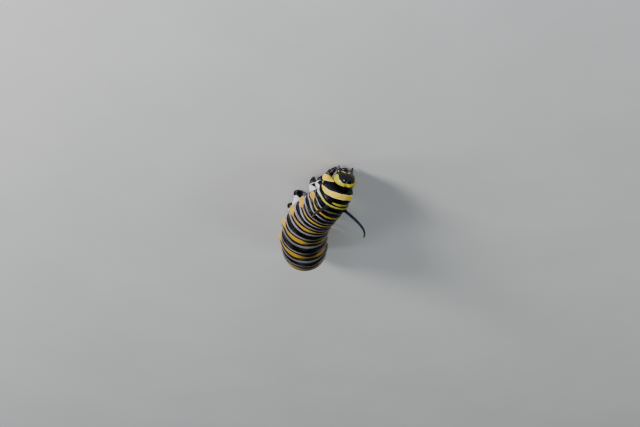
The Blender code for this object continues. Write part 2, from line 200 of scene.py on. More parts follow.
lengths, half_widths, headings, pitches, twists = np.array(list(SEGMENTS.values()), float).T
ends = np.concatenate([[0.0], np.cumsum(lengths)])
middles = (ends[:-1] + ends[1:]) / 2
along = np.linspace(0, ends[-1], round(ends[-1] / LINE_STEP))
heading, pitch, twist = (
    np.radians(smooth_curve(middles, angle, along)) for angle in (headings, pitches, twists)
)
width_knots = np.concatenate([[0.0], middles])
line_width = smooth_curve(width_knots, np.append(FRONT_HALF_WIDTH, half_widths), along)
line_axis = np.stack(
    [np.sin(heading) * np.cos(pitch), np.cos(heading) * np.cos(pitch), np.sin(pitch)], axis=1
)
line_left = np.stack([np.cos(heading), -np.sin(heading), np.zeros_like(heading)], axis=1)
line_up = np.cross(line_left, line_axis)
steps = (line_axis[1:] + line_axis[:-1]) / 2 * (along[1] - along[0])
line_point = np.vstack([np.zeros(3), np.cumsum(steps, axis=0)])


def read_line(values, s):
    """Values kept along the centreline, read at distances s by straight interpolation."""
    if values.ndim == 1:
        return np.interp(s, along, values)
    return np.stack([np.interp(s, along, values[:, k]) for k in range(3)], axis=-1)


def place_in(segment, share=0.5):
    """Distance along the centreline to a place in a segment, as a share of its length."""
    i = NAMES.index(segment)
    return ends[i] + share * (ends[i + 1] - ends[i])


line_point += FOCUS - read_line(line_point, place_in("abdomen_4"))
print("body length along its line:", round(ends[-1], 2), "mm")

# %% [markdown]
# ## Where the bands run
#
# Most segments of a monarch larva carry a thin pale band, a yellow one and a broad pale one on
# black. Low on the side they swing towards the head, and the yellow one widens to a patch. A
# band drawn as a picture would need an image. Here each band is instead a function: at every
# point of the skin it gives the distance to the edge of the band, positive inside it. The same
# numbers place the folds, because a band is also the crest of a fold. Where the body bends, the
# skin is pulled along, so the bands lean over and slide round the back a little.

# %% Band table
# For each segment: where the thin pale, yellow and broad pale bands cross the back, as shares
# of its length, how far they swing headwards low on the side, and the half width of the yellow
# one at the middle of the back and on the shoulder.
BANDS = {
    "thorax_3": (-0.03, 0.33, 0.77, 0.2, 0.075, 0.062),
    "abdomen_1": (0.23, 0.51, 0.84, 0.2, 0.045, 0.07),
    "abdomen_2": (0.15, 0.37, 0.66, 0.09, 0.03, 0.075),
    "abdomen_3": (0.11, 0.35, 0.68, 0.05, 0.035, 0.105),
    "abdomen_4": (0.17, 0.43, 0.79, 0.04, 0.04, 0.12),
    "abdomen_5": (0.17, 0.5, 0.8, 0.04, 0.045, 0.115),
    "abdomen_6": (0.15, 0.42, 0.77, 0.05, 0.045, 0.11),
    "abdomen_7": (0.13, 0.4, 0.75, 0.06, 0.045, 0.11),
    "abdomen_8": (0.12, 0.36, 0.8, 0.06, 0.05, 0.11),
}
THIN_HALF_WIDTH = 0.085
NECK_SHARE = 0.55  # of the shoulder's half width, where the yellow band narrows above its patch
PATCH_SHARE = 0.19
BROAD_SHARE = 0.062
print("segments with three bands:", len(BANDS))

# %% Lean, drag and grooves
# The rings of the skin lean over where the body bends: mm headwards on the left side, at the
# middle of each segment.
LEAN = (0, 0, -0.18, -0.15, -0.2, 0.0, 0.5, 0.6, 0.4, 0.2, 0, 0, 0)


def leaning(s, angle):
    """The place a point would have on an upright ring: s plus the lean times sine of angle."""
    return s + np.interp(s, middles, LEAN) * np.sin(angle)


# The skin of the back is also dragged round by the bend: degrees from the upper line of the body
# to the middle of its markings, for each segment. The drag dies out on the flanks.
DRAG = (0, 0, -4, -9, -13, -14, -14, -12, -10, -8, -6, -4, -2)
DRAG_FADES = (35, 85)


def undragged(s, degrees):
    """The angle round the body counted from the middle of the markings."""
    return degrees - np.interp(s, middles, DRAG) * (1 - ramp(np.abs(degrees), *DRAG_FADES))


def fold_lines():
    """Distances of the grooves between segments: halfway between two neighbouring bands."""
    lines = list(ends[1:3])
    banded = list(BANDS)
    for name, following in zip(banded[:-1], banded[1:]):
        rear = place_in(name, BANDS[name][2] + BROAD_SHARE)
        front = place_in(following, BANDS[following][0]) - THIN_HALF_WIDTH
        lines.append((rear + front) / 2)
    return np.array(lines + list(ends[11:13]))


creases = fold_lines()
print("grooves at:", np.round(creases, 2))

# %% [markdown]
# ## The body tube
#
# A point of the skin is given by its distance along the line and its angle round it from the
# middle of the back. The radius there is the half width, less the grooves between segments,
# plus the swelling that runs low along each side. The belly is a little flatter than the back.

# %% Body surface
CREASE_DEPTH = 0.19
CREASE_REACH = 0.27
LIP = 0.45  # length of the rounded edge where the skin turns in behind the head
LIP_DEPTH = 0.45  # share of the radius that the edge turns in
AT_ONCE = 8000  # points measured together, to spare memory


def body_radius(s, angle):
    """Half width, minus bells at the grooves, plus a bell at the fold, rounded at both ends."""
    upright = leaning(s, angle)
    i = np.clip(np.searchsorted(ends, s) - 1, 0, len(NAMES) - 1)
    share = np.clip((s - ends[i]) / (ends[i + 1] - ends[i]), 0, 1)
    nearest = np.min(np.abs(upright[..., None] - creases), axis=-1)
    fold = FOLD_DEPTH * np.sin(np.pi * share) ** 2
    side = off_top(angle)
    radius = read_line(line_width, s) - CREASE_DEPTH * bell(nearest, CREASE_REACH)
    radius = radius + fold * bell(side - FOLD_ANGLE, FOLD_SPREAD)
    lobe = LOBE_DEPTH * bell(s - LOBE_AT, LOBE_REACH)
    radius = radius + lobe * bell(side - LOBE_ANGLE, LOBE_SPREAD)
    tail = place_in("abdomen_10", TAIL_SHARE)
    past = np.clip((s - tail) / (ends[-1] - tail), 0, 1)
    before = np.clip(1 - s / LIP, 0, 1)
    turned_in = 1 - LIP_DEPTH + LIP_DEPTH * np.sqrt(1 - before**2)
    return radius * np.sqrt(1 - past**2) * turned_in


def section_point(s, radius, angle):
    """The line's point, plus radius times sine to the left and cosine upwards, after twist."""
    sideways = radius * np.sin(angle)
    height = radius * np.cos(angle) * HEIGHT_SHARE
    height = np.where(height < 0, height * BELLY_SHARE, height)
    turn = read_line(twist, s)[..., None]
    left = read_line(line_left, s)
    up = read_line(line_up, s)
    to_side = np.cos(turn) * left + np.sin(turn) * up
    to_back = np.cos(turn) * up - np.sin(turn) * left
    return read_line(line_point, s) + sideways[..., None] * to_side + height[..., None] * to_back


def body_surface(s, angle):
    """The skin's point at distances s and angles in radians."""
    return section_point(s, body_radius(s, angle), angle)


def section_of(points):
    """The reverse: distance, angle and radius of points, from their nearest place on the line."""
    blocks = np.array_split(points, len(points) // AT_ONCE + 1)
    squares = (((block[:, None] - line_point) ** 2).sum(-1) for block in blocks)
    nearest = np.concatenate([np.argmin(square, axis=1) for square in squares])
    offset = points - line_point[nearest]
    ahead = np.einsum("ij,ij->i", offset, line_axis[nearest])
    s = np.clip(along[nearest] + ahead, 0, ends[-1])
    offset = points - read_line(line_point, s)
    turn = read_line(twist, s)[:, None]
    left = read_line(line_left, s)
    up = read_line(line_up, s)
    sideways = np.einsum("ij,ij->i", offset, np.cos(turn) * left + np.sin(turn) * up)
    height = np.einsum("ij,ij->i", offset, np.cos(turn) * up - np.sin(turn) * left) / HEIGHT_SHARE
    height = np.where(height < 0, height / BELLY_SHARE, height)
    return s, np.arctan2(sideways, height), np.hypot(sideways, height)


middle_radius = body_radius(np.array([place_in("abdomen_4")]), np.zeros(1))[0]
print("radius in the middle of the body:", round(float(middle_radius), 2), "mm")

# %% [markdown]
# ## Meshes from arrays
#
# Every piece below is a grid of points: rows along it and columns round it. The helper closes
# the seam where the last column meets the first, and caps both ends with a fan about one point.
# Writing whole arrays with foreach_set is much faster than adding vertices one by one.

# %% Mesh helpers
def grid_quads(index):
    """Quads between neighbouring rows of vertex numbers, closed round the columns."""
    beside = np.roll(index, -1, axis=-1)
    corners = (index[..., :-1, :], beside[..., :-1, :], beside[..., 1:, :], index[..., 1:, :])
    return np.stack(corners, axis=-1).reshape(-1, 4)


def face_out(points, quads, triangles):
    """The same surface, its faces reversed if six times its volume comes out negative.

    That is the sum, over all triangles, of the triple product of their corners.
    """
    fans = np.vstack([quads[:, [0, 1, 2]], quads[:, [0, 2, 3]], triangles])
    a, b, c = (points[fans[:, k]] for k in range(3))
    if np.einsum("ij,ij->i", a, np.cross(b, c)).sum() < 0:
        quads, triangles = quads[:, ::-1], triangles[:, ::-1]
    return points, quads, triangles


def tube(grid):
    """Points and faces of a closed tube: quads between rows, and a fan at each end."""
    rows, columns = grid.shape[:2]
    index = np.arange(rows * columns).reshape(rows, columns)
    beside = np.roll(index, -1, axis=1)
    tip = np.full(columns, rows * columns)
    first_fan = np.stack([beside[0], index[0], tip], axis=1)
    last_fan = np.stack([index[-1], beside[-1], tip + 1], axis=1)
    points = np.vstack([grid.reshape(-1, 3), grid[0].mean(axis=0), grid[-1].mean(axis=0)])
    return face_out(points, grid_quads(index), np.vstack([first_fan, last_fan]))


def join(parts):
    """Several (points, quads, triangles) sets as one, with their indices moved along."""
    points, quads, triangles, count = [], [], [], 0
    for part in parts:
        points.append(part[0])
        quads.append(part[1] + count)
        triangles.append(part[2] + count)
        count += len(part[0])
    return np.vstack(points), np.vstack(quads), np.vstack(triangles)


def make_mesh(name, points, quads, triangles):
    """A smooth-shaded mesh written from whole arrays."""
    faces = np.concatenate([quads.ravel(), triangles.ravel()])
    sizes = np.concatenate([np.full(len(quads), 4), np.full(len(triangles), 3)])
    mesh = bpy.data.meshes.new(name)
    mesh.vertices.add(len(points))
    mesh.vertices.foreach_set("co", np.asarray(points, np.float32).ravel())
    mesh.loops.add(len(faces))
    mesh.loops.foreach_set("vertex_index", faces.astype(np.int32))
    mesh.polygons.add(len(sizes))
    starts = np.concatenate([[0], np.cumsum(sizes)[:-1]])
    mesh.polygons.foreach_set("loop_start", starts.astype(np.int32))
    mesh.update(calc_edges=True)
    mesh.validate()
    mesh.shade_smooth()
    return mesh


def add_piece(name, part, material, slot, *nodes):
    """A finished piece: its mesh in metres, its finish, the body it rides on and its nodes."""
    points, quads, triangles = part
    piece = in_scene(name, make_mesh(name, points * MM, quads, triangles))
    piece.data.materials.append(material)
    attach(piece, "root")
    if nodes:
        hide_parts(*nodes)
    return piece


def bezier(controls, t):
    """The cubic curve of four control points, with shares t of its way."""
    a, b, c, d = (np.asarray(point, float) for point in controls)
    t = np.asarray(t, float)[..., None]
    return (1 - t) ** 3 * a + 3 * (1 - t) ** 2 * t * b + 3 * (1 - t) * t**2 * c + t**3 * d


def wheels(first, second, columns):
    """Unit circles: cosine of the turn times one direction, plus sine times the other."""
    turn = full_turn(columns)[:, None]
    return np.cos(turn) * first[..., None, :] + np.sin(turn) * second[..., None, :]


def sweep(path, radii, columns, level=0):
    """A tube of circles square to a path; the last few may lie level, as a sole."""
    ahead = unit(np.gradient(path, axis=0))
    if level:
        ahead[-level:] = (0, 0, -1)
    first = unit(np.cross(ahead, (0.0, 1.0, 0.0)))
    wheel = wheels(first, np.cross(ahead, first), columns)
    return tube(path[:, None] + radii[:, None, None] * wheel)


straight = bezier(((0, 0, 0), (0, 0, 1), (0, 0, 2), (0, 0, 3)), np.linspace(0, 1, 5))
print("quads of a five by eight sweep:", len(sweep(straight, np.ones(5), 8)[1]))

# %% [markdown]
# ## Limbs as paths
#
# A true leg leaves the body low on its side, bends at a knee and comes down on a small claw. A
# false leg is a fleshy cone that goes straight down to a broad sole. Both are a path with a
# radius at each place. The paths are those of the solids, so what is drawn stays inside them.

# %% Limb paths
LEVEL = np.array((1.0, 1.0, 0.0))  # leaves out the height
LEG_SHARE = 0.45
LEG_ANGLE = 146
LEG_DEPTH = 0.5
LEG_KNEE = (1.25, 0.25)
LEG_ANKLE = (0.75, 0.12)
LEG_FEET = {
    "leg_1_left": ("thorax_1", 1.15, 0.95, 0),
    "leg_1_right": ("thorax_1", 1.75, 0.85, 0),
    "leg_2_left": ("thorax_2", 1.7, -0.15, 0.5),
    "leg_2_right": ("thorax_2", 1.75, 0.45, 0),
    "leg_3_left": ("thorax_3", 2.0, -0.4, 0),
    "leg_3_right": ("thorax_3", 2.05, 0.1, 0),
}
PROLEG_ANGLE = 150
PROLEG_DEPTH = 0.9
PROLEG_AT = (0.0, 0.25, 0.42, 0.6, 0.75, 0.83, 0.9, 0.95, 1.0)
PROLEG_RADII = (1.08, 1.02, 0.94, 0.82, 0.68, 0.66, 0.74, 0.74, 0.66)
PROLEG_FEET = {
    "abdomen_3": (1.55, 1.3),
    "abdomen_4": (2.0, 0.4),
    "abdomen_5": (2.05, 0.0),
    "abdomen_6": (1.9, -0.2),
}
CLASPER_ANGLE = 135
CLASPER_FOOT = (1.35, -0.75)
CLASPER_SIZE = 0.78


def on_body(segment, share, degrees, depth=0.0):
    """A place on the skin, sunk by a depth, and the outward direction there."""
    s = place_in(segment, share)
    point = body_surface(np.array([s]), np.array([np.radians(degrees)]))[0]
    outward = unit(point - read_line(line_point, s))
    return point - depth * outward, outward


def foot_place(segment, sideways, forwards, height=0.0):
    """The place beside the middle of a segment where a foot ends."""
    s = place_in(segment)
    flat = unit(read_line(line_axis, s) * LEVEL)
    foot = read_line(line_point, s) + sideways * read_line(line_left, s) - forwards * flat
    foot[2] = height
    return foot


def leg_controls(name):
    """The four control points of a true leg: root, knee, ankle and foot."""
    segment, outwards, forwards, height = LEG_FEET[name]
    sign = SIDES[name.split("_")[-1]]
    root, outward = on_body(segment, LEG_SHARE, sign * LEG_ANGLE, LEG_DEPTH)
    foot = foot_place(segment, sign * outwards, forwards, height)
    knee = root + LEG_KNEE[0] * outward + LEG_KNEE[1] * (foot - root)
    ankle = foot + (0, 0, LEG_ANKLE[0]) + LEG_ANKLE[1] * (foot - root) * LEVEL
    return root, knee, ankle, foot


def proleg_rows():
    """Name, segment, root angle, foot and size of the eight false legs and two claspers."""
    rows = []
    for side, sign in SIDES.items():
        for segment, (outwards, forwards) in PROLEG_FEET.items():
            name = f"proleg_{segment.split('_')[1]}_{side}"
            foot = foot_place(segment, sign * outwards, forwards)
            rows.append((name, segment, sign * PROLEG_ANGLE, foot, 1.0))
        foot = foot_place(NAMES[-1], sign * CLASPER_FOOT[0], CLASPER_FOOT[1])
        rows.append((f"clasper_{side}", NAMES[-1], sign * CLASPER_ANGLE, foot, CLASPER_SIZE))
    return rows


prolegs = proleg_rows()
print("false legs and claspers:", len(prolegs), "true legs:", len(LEG_FEET))

# %% [markdown]
# ## One skin
#
# The body, its false legs and the fleshy bases of the true legs are one skin on the animal. Set
# side by side they would show a hard line wherever one goes into the next. A voxel Remesh turns
# the overlapping tubes into a single closed surface, and a few rounds of averaging every point
# with its neighbours melt the stair steps it leaves. It is done in millimetres, because the
# modifier's smallest voxel is a tenth of a thousandth of a unit.

# %% Skin base
SKIN_ROWS = 560
SKIN_COLUMNS = 190
TIP_GAP = 0.02
CROWDING = 0.25
VOXEL = 0.108
SOFTENING = 6
PROLEG_ROWS = 44
PROLEG_COLUMNS = 40
PROLEG_LEVEL = 13
LEG_BASE_WAY = 0.34
LEG_BASE_ROWS = 16
LEG_BASE_COLUMNS = 28
LEG_BASE_RADII = (0.9, 0.92, 0.88, 0.76, 0.55)


def body_tube():
    """The body's grid: rows crowded where the ends round off."""
    way = np.linspace(0, 1, SKIN_ROWS)
    reach = ends[-1] - TIP_GAP
    s = reach * (0.5 - 0.5 * np.cos(np.pi * way)) * CROWDING + (1 - CROWDING) * way * reach
    return tube(body_surface(*np.meshgrid(s, full_turn(SKIN_COLUMNS), indexing="ij")))


def proleg_tube(segment, angle, foot, size):
    """A false leg: radii smoothed along a straight path, its last rows level with the floor."""
    root = on_body(segment, 0.5, angle, PROLEG_DEPTH)[0]
    t = np.linspace(0, 1, PROLEG_ROWS)
    radii = size * smooth_curve(PROLEG_AT, PROLEG_RADII, t)
    return sweep(root + t[:, None] * (foot - root), radii, PROLEG_COLUMNS, PROLEG_LEVEL)


def leg_base(name):
    """The soft cone that a true leg grows from: the first part of the leg's own path."""
    t = np.linspace(0, LEG_BASE_WAY, LEG_BASE_ROWS)
    knots = np.linspace(0, LEG_BASE_WAY, len(LEG_BASE_RADII))
    radii = smooth_curve(knots, LEG_BASE_RADII, t)
    return sweep(bezier(leg_controls(name), t), radii, LEG_BASE_COLUMNS)


def remeshed(parts, voxel):
    """Overlapping closed parts as one surface, by a voxel Remesh that is applied here."""
    source = in_scene("remesh_source", make_mesh("source", *join(parts)))
    modifier = source.modifiers.new("remesh", "REMESH")
    modifier.mode = "VOXEL"
    modifier.voxel_size = voxel
    graph = bpy.context.evaluated_depsgraph_get()
    mesh = bpy.data.meshes.new_from_object(source.evaluated_get(graph))
    points = np.empty(len(mesh.vertices) * 3, np.float32)
    mesh.vertices.foreach_get("co", points)
    corners = np.empty(len(mesh.loops), np.int32)
    mesh.loops.foreach_get("vertex_index", corners)
    sizes = np.empty(len(mesh.polygons), np.int32)
    mesh.polygons.foreach_get("loop_total", sizes)
    assert (sizes == 4).all()
    bpy.data.objects.remove(source, do_unlink=True)
    bpy.data.meshes.remove(mesh)
    return points.reshape(-1, 3).astype(float), corners.reshape(-1, 4)


def neighbour_mean(values, quads):
    """For each vertex, the mean of the values at the far ends of its edges."""
    starts, finishes = quads.ravel(), np.roll(quads, -1, axis=1).ravel()
    ways = ((starts, finishes), (finishes, starts))
    count = sum(np.bincount(near, minlength=len(values)) for near, _ in ways)
    total = [
        sum(np.bincount(near, column[far], len(values)) for near, far in ways)
        for column in values.T
    ]
    return np.stack(total, axis=1) / count[:, None]


def soften(points, quads, rounds):
    """Moves each vertex half of the way to the mean of its neighbours, a few times."""
    for _ in range(rounds):
        points = 0.5 * points + 0.5 * neighbour_mean(points, quads)
    return points


soft_parts = [body_tube()] + [proleg_tube(*row[1:]) for row in prolegs]
soft_parts += [leg_base(name) for name in LEG_FEET]
skin_points, skin_quads = remeshed(soft_parts, VOXEL)
skin_points = soften(skin_points, skin_quads, SOFTENING)
print("skin:", len(skin_points), "points,", 2 * len(skin_quads), "triangles")

# %% [markdown]
# ## Fields over the skin
#
# Each vertex now needs its own address on the animal: how far along, how far round, and how far
# it stands out from the plain tube, which tells leg from body. All later steps read these.

# %% Skin addresses
LIMB_STANDS = (0.12, 0.45)  # mm outside the tube where skin starts to be a leg's, and is
LIMB_FROM = (112, 125)  # the same, in degrees round from the back

skin_s, skin_angle, skin_radius = section_of(skin_points)
skin_upright = leaning(skin_s, skin_angle)
skin_degrees = np.degrees(skin_angle)
around_side = np.abs(skin_degrees)
stand_out = skin_radius - body_radius(skin_s, skin_angle)
limb = ramp(stand_out, *LIMB_STANDS) * ramp(around_side, *LIMB_FROM)
print("points on limbs:", int((limb > 0.5).sum()))

# %% [markdown]
# ## Markings
#
# Every marking is a signed distance: the half width of the band less the distance from its
# middle line, or the radius of a patch less the distance from its middle. The largest of them
# wins at each point, and its colour goes with it. The shader turns the distance into an edge,
# so the edge can be far finer than the mesh.

# %% Colours of the markings
YELLOW = np.array((0.42, 0.28, 0.0))
ORANGE = np.array((0.42, 0.22, 0.0))
GOLD = np.array((0.9, 0.58, 0.0))
LEMON = np.array((0.44, 0.42, 0.004))
CREAM = np.array((0.8, 0.68, 0.22))
PALE = np.array((0.16, 0.15, 0.19))
LIGHT = np.array((0.3, 0.29, 0.335))
WHITE = np.array((0.6, 0.58, 0.65))
LEAF_YELLOW = np.array((0.38, 0.39, 0.03))
DUSK = np.array((0.03, 0.032, 0.034))
MAUVE = np.array((0.09, 0.075, 0.1))
LILAC = np.array((0.27, 0.255, 0.34))
SILVER = np.array((0.2, 0.21, 0.21))
UMBER = np.array((0.13, 0.075, 0.05))
PEACH = np.array((0.58, 0.34, 0.015))
OLIVE = np.array((0.09, 0.07, 0.0))
MOSS = np.array((0.085, 0.085, 0.03))
print("darkest and palest marking:", DUSK, WHITE)

# %% Marking formulas
WAVES = ((1, 2.1, 1), (1.7, -1.3, 2.3), (2.9, 0.7, 4.1))  # shares of angle, way and seed
WAVE_TURNS = 3.1  # waves round the body


def mix(first, second, amount):
    """A colour on the straight way from the first to the second."""
    amount = np.asarray(amount)[..., None]
    return first * (1 - amount) + second * amount


def turning(first, second, side, low, high, most=1.0):
    """The first colour going over to the second between two angles from the back."""
    return mix(first, second, most * ramp(side, low, high))


def wander(s, degrees, scale, seed):
    """A slow, even waver between -1 and 1: the mean of three sine waves of unlike lengths."""
    a = np.radians(degrees) * WAVE_TURNS
    waves = (np.sin(turn * a + way * s / scale + more * seed) for turn, way, more in WAVES)
    return sum(waves) / len(WAVES)


def rounded_least(first, second, rounding):
    """The lesser of two distances with its corner rounded: minus the log of summed powers of e."""
    return -rounding * np.logaddexp(-first / rounding, -second / rounding)


print("greatest waver:", round(float(np.max(np.abs(wander(along, 0.0, 1.0, 0.0)))), 2))

# %% [markdown]
# ## Bands of one segment
#
# Nine segments wear the same three bands, so one description serves them all. Ring holds what a
# segment knows of its own skin. Each band is a half width less the distance off its middle line,
# and a ramp over the angle from the back stands wherever it changes from the back to the side.

# %% One segment's part of the skin
SWING_DEGREES = (48, 100)
# The pale bands are drawn narrower on the middle of the back. This is partly their own narrowing there
# and partly painted shade, standing in for the shade that falls on the back.
BACK_NARROWING_WITH_SHADE = (6, 34)  # degrees over which the pale bands grow from the middle of the back
BACK_WIDTH_WITH_PAINTED_SHADE = 0.72  # of their full width, at the middle of the back
REAR = (3, 5)  # numbers of the segments between which the rear's colours come in
BAND_STOP = 121  # degrees from the back
STOP_SLOPE = 0.055
STOP_WAVER = 0.16
EDGE_WAVER = 0.035
SEED_STEP = 1.7


class Ring:
    """The skin as one segment sees it: mm from its front end, and degrees from the back."""

    def __init__(self, name, s, degrees):
        i = NAMES.index(name)
        self.s, self.degrees, self.seed = s, degrees, SEED_STEP * i
        self.side = np.abs(degrees)
        self.length = ends[i + 1] - ends[i]
        self.rear = ramp(i, *REAR)
        self.first = float(name == "thorax_3")
        # Narrower pale bands on the middle of the back: partly painted shade.
        self.top = BACK_WIDTH_WITH_PAINTED_SHADE + (1 - BACK_WIDTH_WITH_PAINTED_SHADE) * ramp(self.side, *BACK_NARROWING_WITH_SHADE)
        self.turned = ramp(self.side, *SWING_DEGREES)
        swing = BANDS[name][3] * self.length * self.turned
        self.offset = s - ends[i] + swing - EDGE_WAVER * self.waver(1.0, 0)
        self.stop = (BAND_STOP - self.side) * STOP_SLOPE + STOP_WAVER * self.waver(0.35, 6)

    def waver(self, scale, more):
        """A waver of this segment's own; each band asks for another one."""
        return wander(self.s, self.degrees, scale, self.seed + more)

    def band(self, half, off, before_stop, rounding):
        """Half width less the distance off the middle line, ended low on the side."""
        return rounded_least(half - np.abs(off), self.stop - before_stop, rounding)


whole_skin = (skin_upright, undragged(skin_s, skin_degrees))
print("degrees of skin round the body:", round(float(np.degrees(np.ptp(skin_angle)))))

# %% Thin and broad pale bands
LOW_SIDE = (76, 98)
LOW_SHIFT = 0.05  # of the segment's length, tailwards
LOW_GROWTH = 0.02
THIN_WAVER = 0.22
THIN_GROWTH = 0.4  # of the thin band's width on the rear segments
BOW = 0.22  # of the first thin band, headwards over the back
BROAD_WAVER = 0.14
BROAD_PULL = (0.5, 0.04)  # of the swing and of the length, headwards low on the side


def thin_band(ring, place):
    """Its half width wavers, is least on the back, and grows low on the side."""
    side, length, rear = ring.side, ring.length, ring.rear
    low = ramp(side, *LOW_SIDE)
    half = THIN_HALF_WIDTH * (1 + THIN_WAVER * ring.waver(2.0, 1)) * ring.top
    half = half * (1 + THIN_GROWTH * rear * ramp(side, 6, 30)) + LOW_GROWTH * low
    bow = BOW * ring.first * (1 - ramp(side, 8, 62))
    off = ring.offset - (place - bow) * length - LOW_SHIFT * length * low
    on_back = mix(PALE, DUSK, 0.5 + 0.5 * rear)
    colour = turning(on_back, mix(MAUVE, LILAC, 0.3 * rear), side, 8, 40)
    colour = mix(colour, turning(MOSS, LILAC, side, 36, 66), ring.first)
    return ring.band(half, off, 0.06, 0.05), turning(colour, LILAC, side, 66, 100)


def broad_band(ring, place, swing):
    """As the thin band, but pulled headwards low on the side, and wide on the rear's back."""
    side, length, rear = ring.side, ring.length, ring.rear
    full = ring.top * (1 - rear) + (1.3 - 0.3 * ramp(side, 6, 40)) * rear
    half = BROAD_SHARE * length * (1 + BROAD_WAVER * ring.waver(2.0, 3)) * full
    pulled = (BROAD_PULL[0] * swing + BROAD_PULL[1]) * length * ring.turned
    off = ring.offset - place * length + pulled
    flank = mix(LILAC, MAUVE, 0.8 * rear * (1 - ramp(side, 72, 100)))
    colour = turning(mix(PALE, SILVER, rear), flank, side, 12, 48)
    return ring.band(half, off, 0.45 if ring.first else 1.5, 0.05), colour


fourth = Ring("abdomen_4", *whole_skin)
pale_edge = thin_band(fourth, BANDS["abdomen_4"][0])[0]
print("skin in the thin band of the fourth:", round(float((pale_edge > 0).mean()), 4))

# %% Yellow band and its patch
# Degrees from the back where the half width is given, and how much lower they lie on the first.
YELLOW_KNOTS = np.array((0, 17, 40, 75, 89, 101, 118))
FIRST_LOWER = np.array((0, 0, 0, 6, 7, 4, 0))
YELLOW_WAVER = 0.18
BROWN_AT = (74, 9)  # degrees and spread of the brownish shade on the neck of the patch


def yellow_band(ring, place, on_back, shoulder):
    """Its half width, a share of the length, goes through knots and is greatest in the patch."""
    side, rear = ring.side, ring.rear
    between = on_back + (0.5 - 0.14 * rear) * (shoulder - on_back)
    patch = PATCH_SHARE * (1 - 0.15 * ring.first)
    shares = (on_back, between, shoulder, NECK_SHARE * shoulder, 0.88 * patch, patch, 0.5 * patch)
    share = smooth_curve(YELLOW_KNOTS + ring.first * FIRST_LOWER, shares, side)
    half = share * ring.length * (1 + YELLOW_WAVER * ring.waver(1.6, 2))
    warm = mix(ORANGE, YELLOW, 0.5 + 0.5 * ring.waver(0.8, 4))
    brown = 0.6 * bell(side - BROWN_AT[0], BROWN_AT[1]) * (0.7 + 0.5 * ring.waver(0.4, 5))
    colour = mix(turning(warm, PEACH, side, 72, 92), UMBER, brown)
    colour = turning(colour, CREAM, side, 102, 118, 0.7)
    colour = mix(colour, OLIVE, 0.8 * rear * (1 - ramp(side, 5, 32)))
    return ring.band(half, ring.offset - place * ring.length, 0.1, 0.12), colour


def segment_bands(name, s, degrees):
    """Signed distances and colours of the three bands of one segment."""
    thin, yellow, broad, swing, on_back, shoulder = BANDS[name]
    ring = Ring(name, s, degrees)
    wide = yellow_band(ring, yellow, on_back, shoulder)
    return [thin_band(ring, thin), wide, broad_band(ring, broad, swing)]


band_fields = [field for name in BANDS for field in segment_bands(name, *whole_skin)]
print("bands:", len(band_fields))

# %% [markdown]
# ## Both ends of the body
#
# The first two segments and the last two have markings of their own: a broad collar behind the
# head with a spot low on each side, a short bar, a ring that turns white on the flanks, and
# narrow bands at the tail. White blotches stand on the lower sides and the legs.

# %% Bands of the thorax and the tail
# Each row: degrees from the back, and the value there, as a share of the length or in mm.
COLLAR_MIDDLE = ((0, 30, 60, 90, 130), (0.38, 0.43, 0.55, 0.68, 0.66))
COLLAR_HALF_WIDTH = 0.37
SPOT_MIDDLE = (0.1, 124)
SPOT_SIZE = (0.75, 0.038, 0.92)  # how the way and the degrees count, and the radius
BAR_AT = 1.86
BAR_HALF_WIDTH = 0.16
BAR_MIDDLE = 4
BAR_REACH = 38
PALE_RING_MIDDLE = ((0, 30, 60, 90, 140), (0.2, 0.26, 0.33, 0.27, 0.36))
PALE_RING_HALF_WIDTH = ((0, 30, 60, 100, 140), (0.07, 0.11, 0.13, 0.12, 0.16))


def collar(s, degrees, side):
    """The broad band behind the head: cream at its rim, lemon and gold within."""
    middle = lengths[0] * smooth_curve(*COLLAR_MIDDLE, side)
    half = COLLAR_HALF_WIDTH + 0.04 * wander(s, degrees, 1.0, 3.0) - 0.13 * ramp(side, 92, 115)
    edge = np.minimum(half - np.abs(s - middle), (136 - side) * 0.04)
    inner = ramp(edge + 0.12 * wander(s, 2.0 * degrees, 0.5, 5.0), 0.06, 0.24)
    deep = ramp(wander(s, 1.6 * degrees, 0.7, 8.0), -0.1, 0.8)
    return edge, mix(CREAM, mix(LEMON, mix(GOLD, ORANGE, 0.3 * deep), inner), inner)


def side_spot(s, degrees, side):
    """A leaning oval on each side of the head: its radius less the stretched distance."""
    lean = SPOT_MIDDLE[0] + 0.014 * (side - 125)
    off = np.hypot((s - lean) / SPOT_SIZE[0], (side - SPOT_MIDDLE[1]) * SPOT_SIZE[1])
    edge = SPOT_SIZE[2] - off + 0.04 * wander(s, 2.0 * degrees, 0.4, 2.0)
    return edge, mix(CREAM, GOLD, ramp(edge, 0.05, 0.4))


def short_bar(s, degrees, side):
    """A bar with pointed ends across the back: the half width follows the root of a parabola."""
    share = np.clip(1 - ((degrees - BAR_MIDDLE) / BAR_REACH) ** 2, 0.0, 1.0)
    off = np.abs(s - BAR_AT - 0.0035 * side - 0.03 * wander(s, degrees, 1.0, 9.0))
    edge = BAR_HALF_WIDTH * np.sqrt(share) - off - 0.02 - 0.3 * ramp(side, 43, 46)
    return edge, mix(YELLOW, LEMON, 0.5)


def pale_ring(s, _, side):
    """A ring round the second segment, leaf yellow on the back and white on the side."""
    middle = ends[1] + lengths[1] * smooth_curve(*PALE_RING_MIDDLE, side)
    half = smooth_curve(*PALE_RING_HALF_WIDTH, side)
    edge = np.minimum(half - np.abs(s - middle), (150 - side) * 0.04)
    return edge, turning(LEAF_YELLOW, WHITE, side, 72, 100)


def tail_bands(s, side):
    """A thin pale and a yellow band on the ninth segment, and an arc on the last one."""
    end = (125 - side) * 0.04
    ninth, last = ends[11:13]
    pale = 0.1 - np.abs(s - ninth - 0.2)
    yellow = 0.18 - np.abs(s - ninth - 0.66)
    arc = 0.17 - np.abs(s - last - 0.35)
    return [
        (np.minimum(pale, end), turning(PALE, LIGHT, side, 60, 100)),
        (np.minimum(yellow, end), turning(YELLOW, CREAM, side, 70, 105)),
        (np.minimum(arc, end - 0.4), mix(YELLOW, LEAF_YELLOW, 0.2)),
    ]


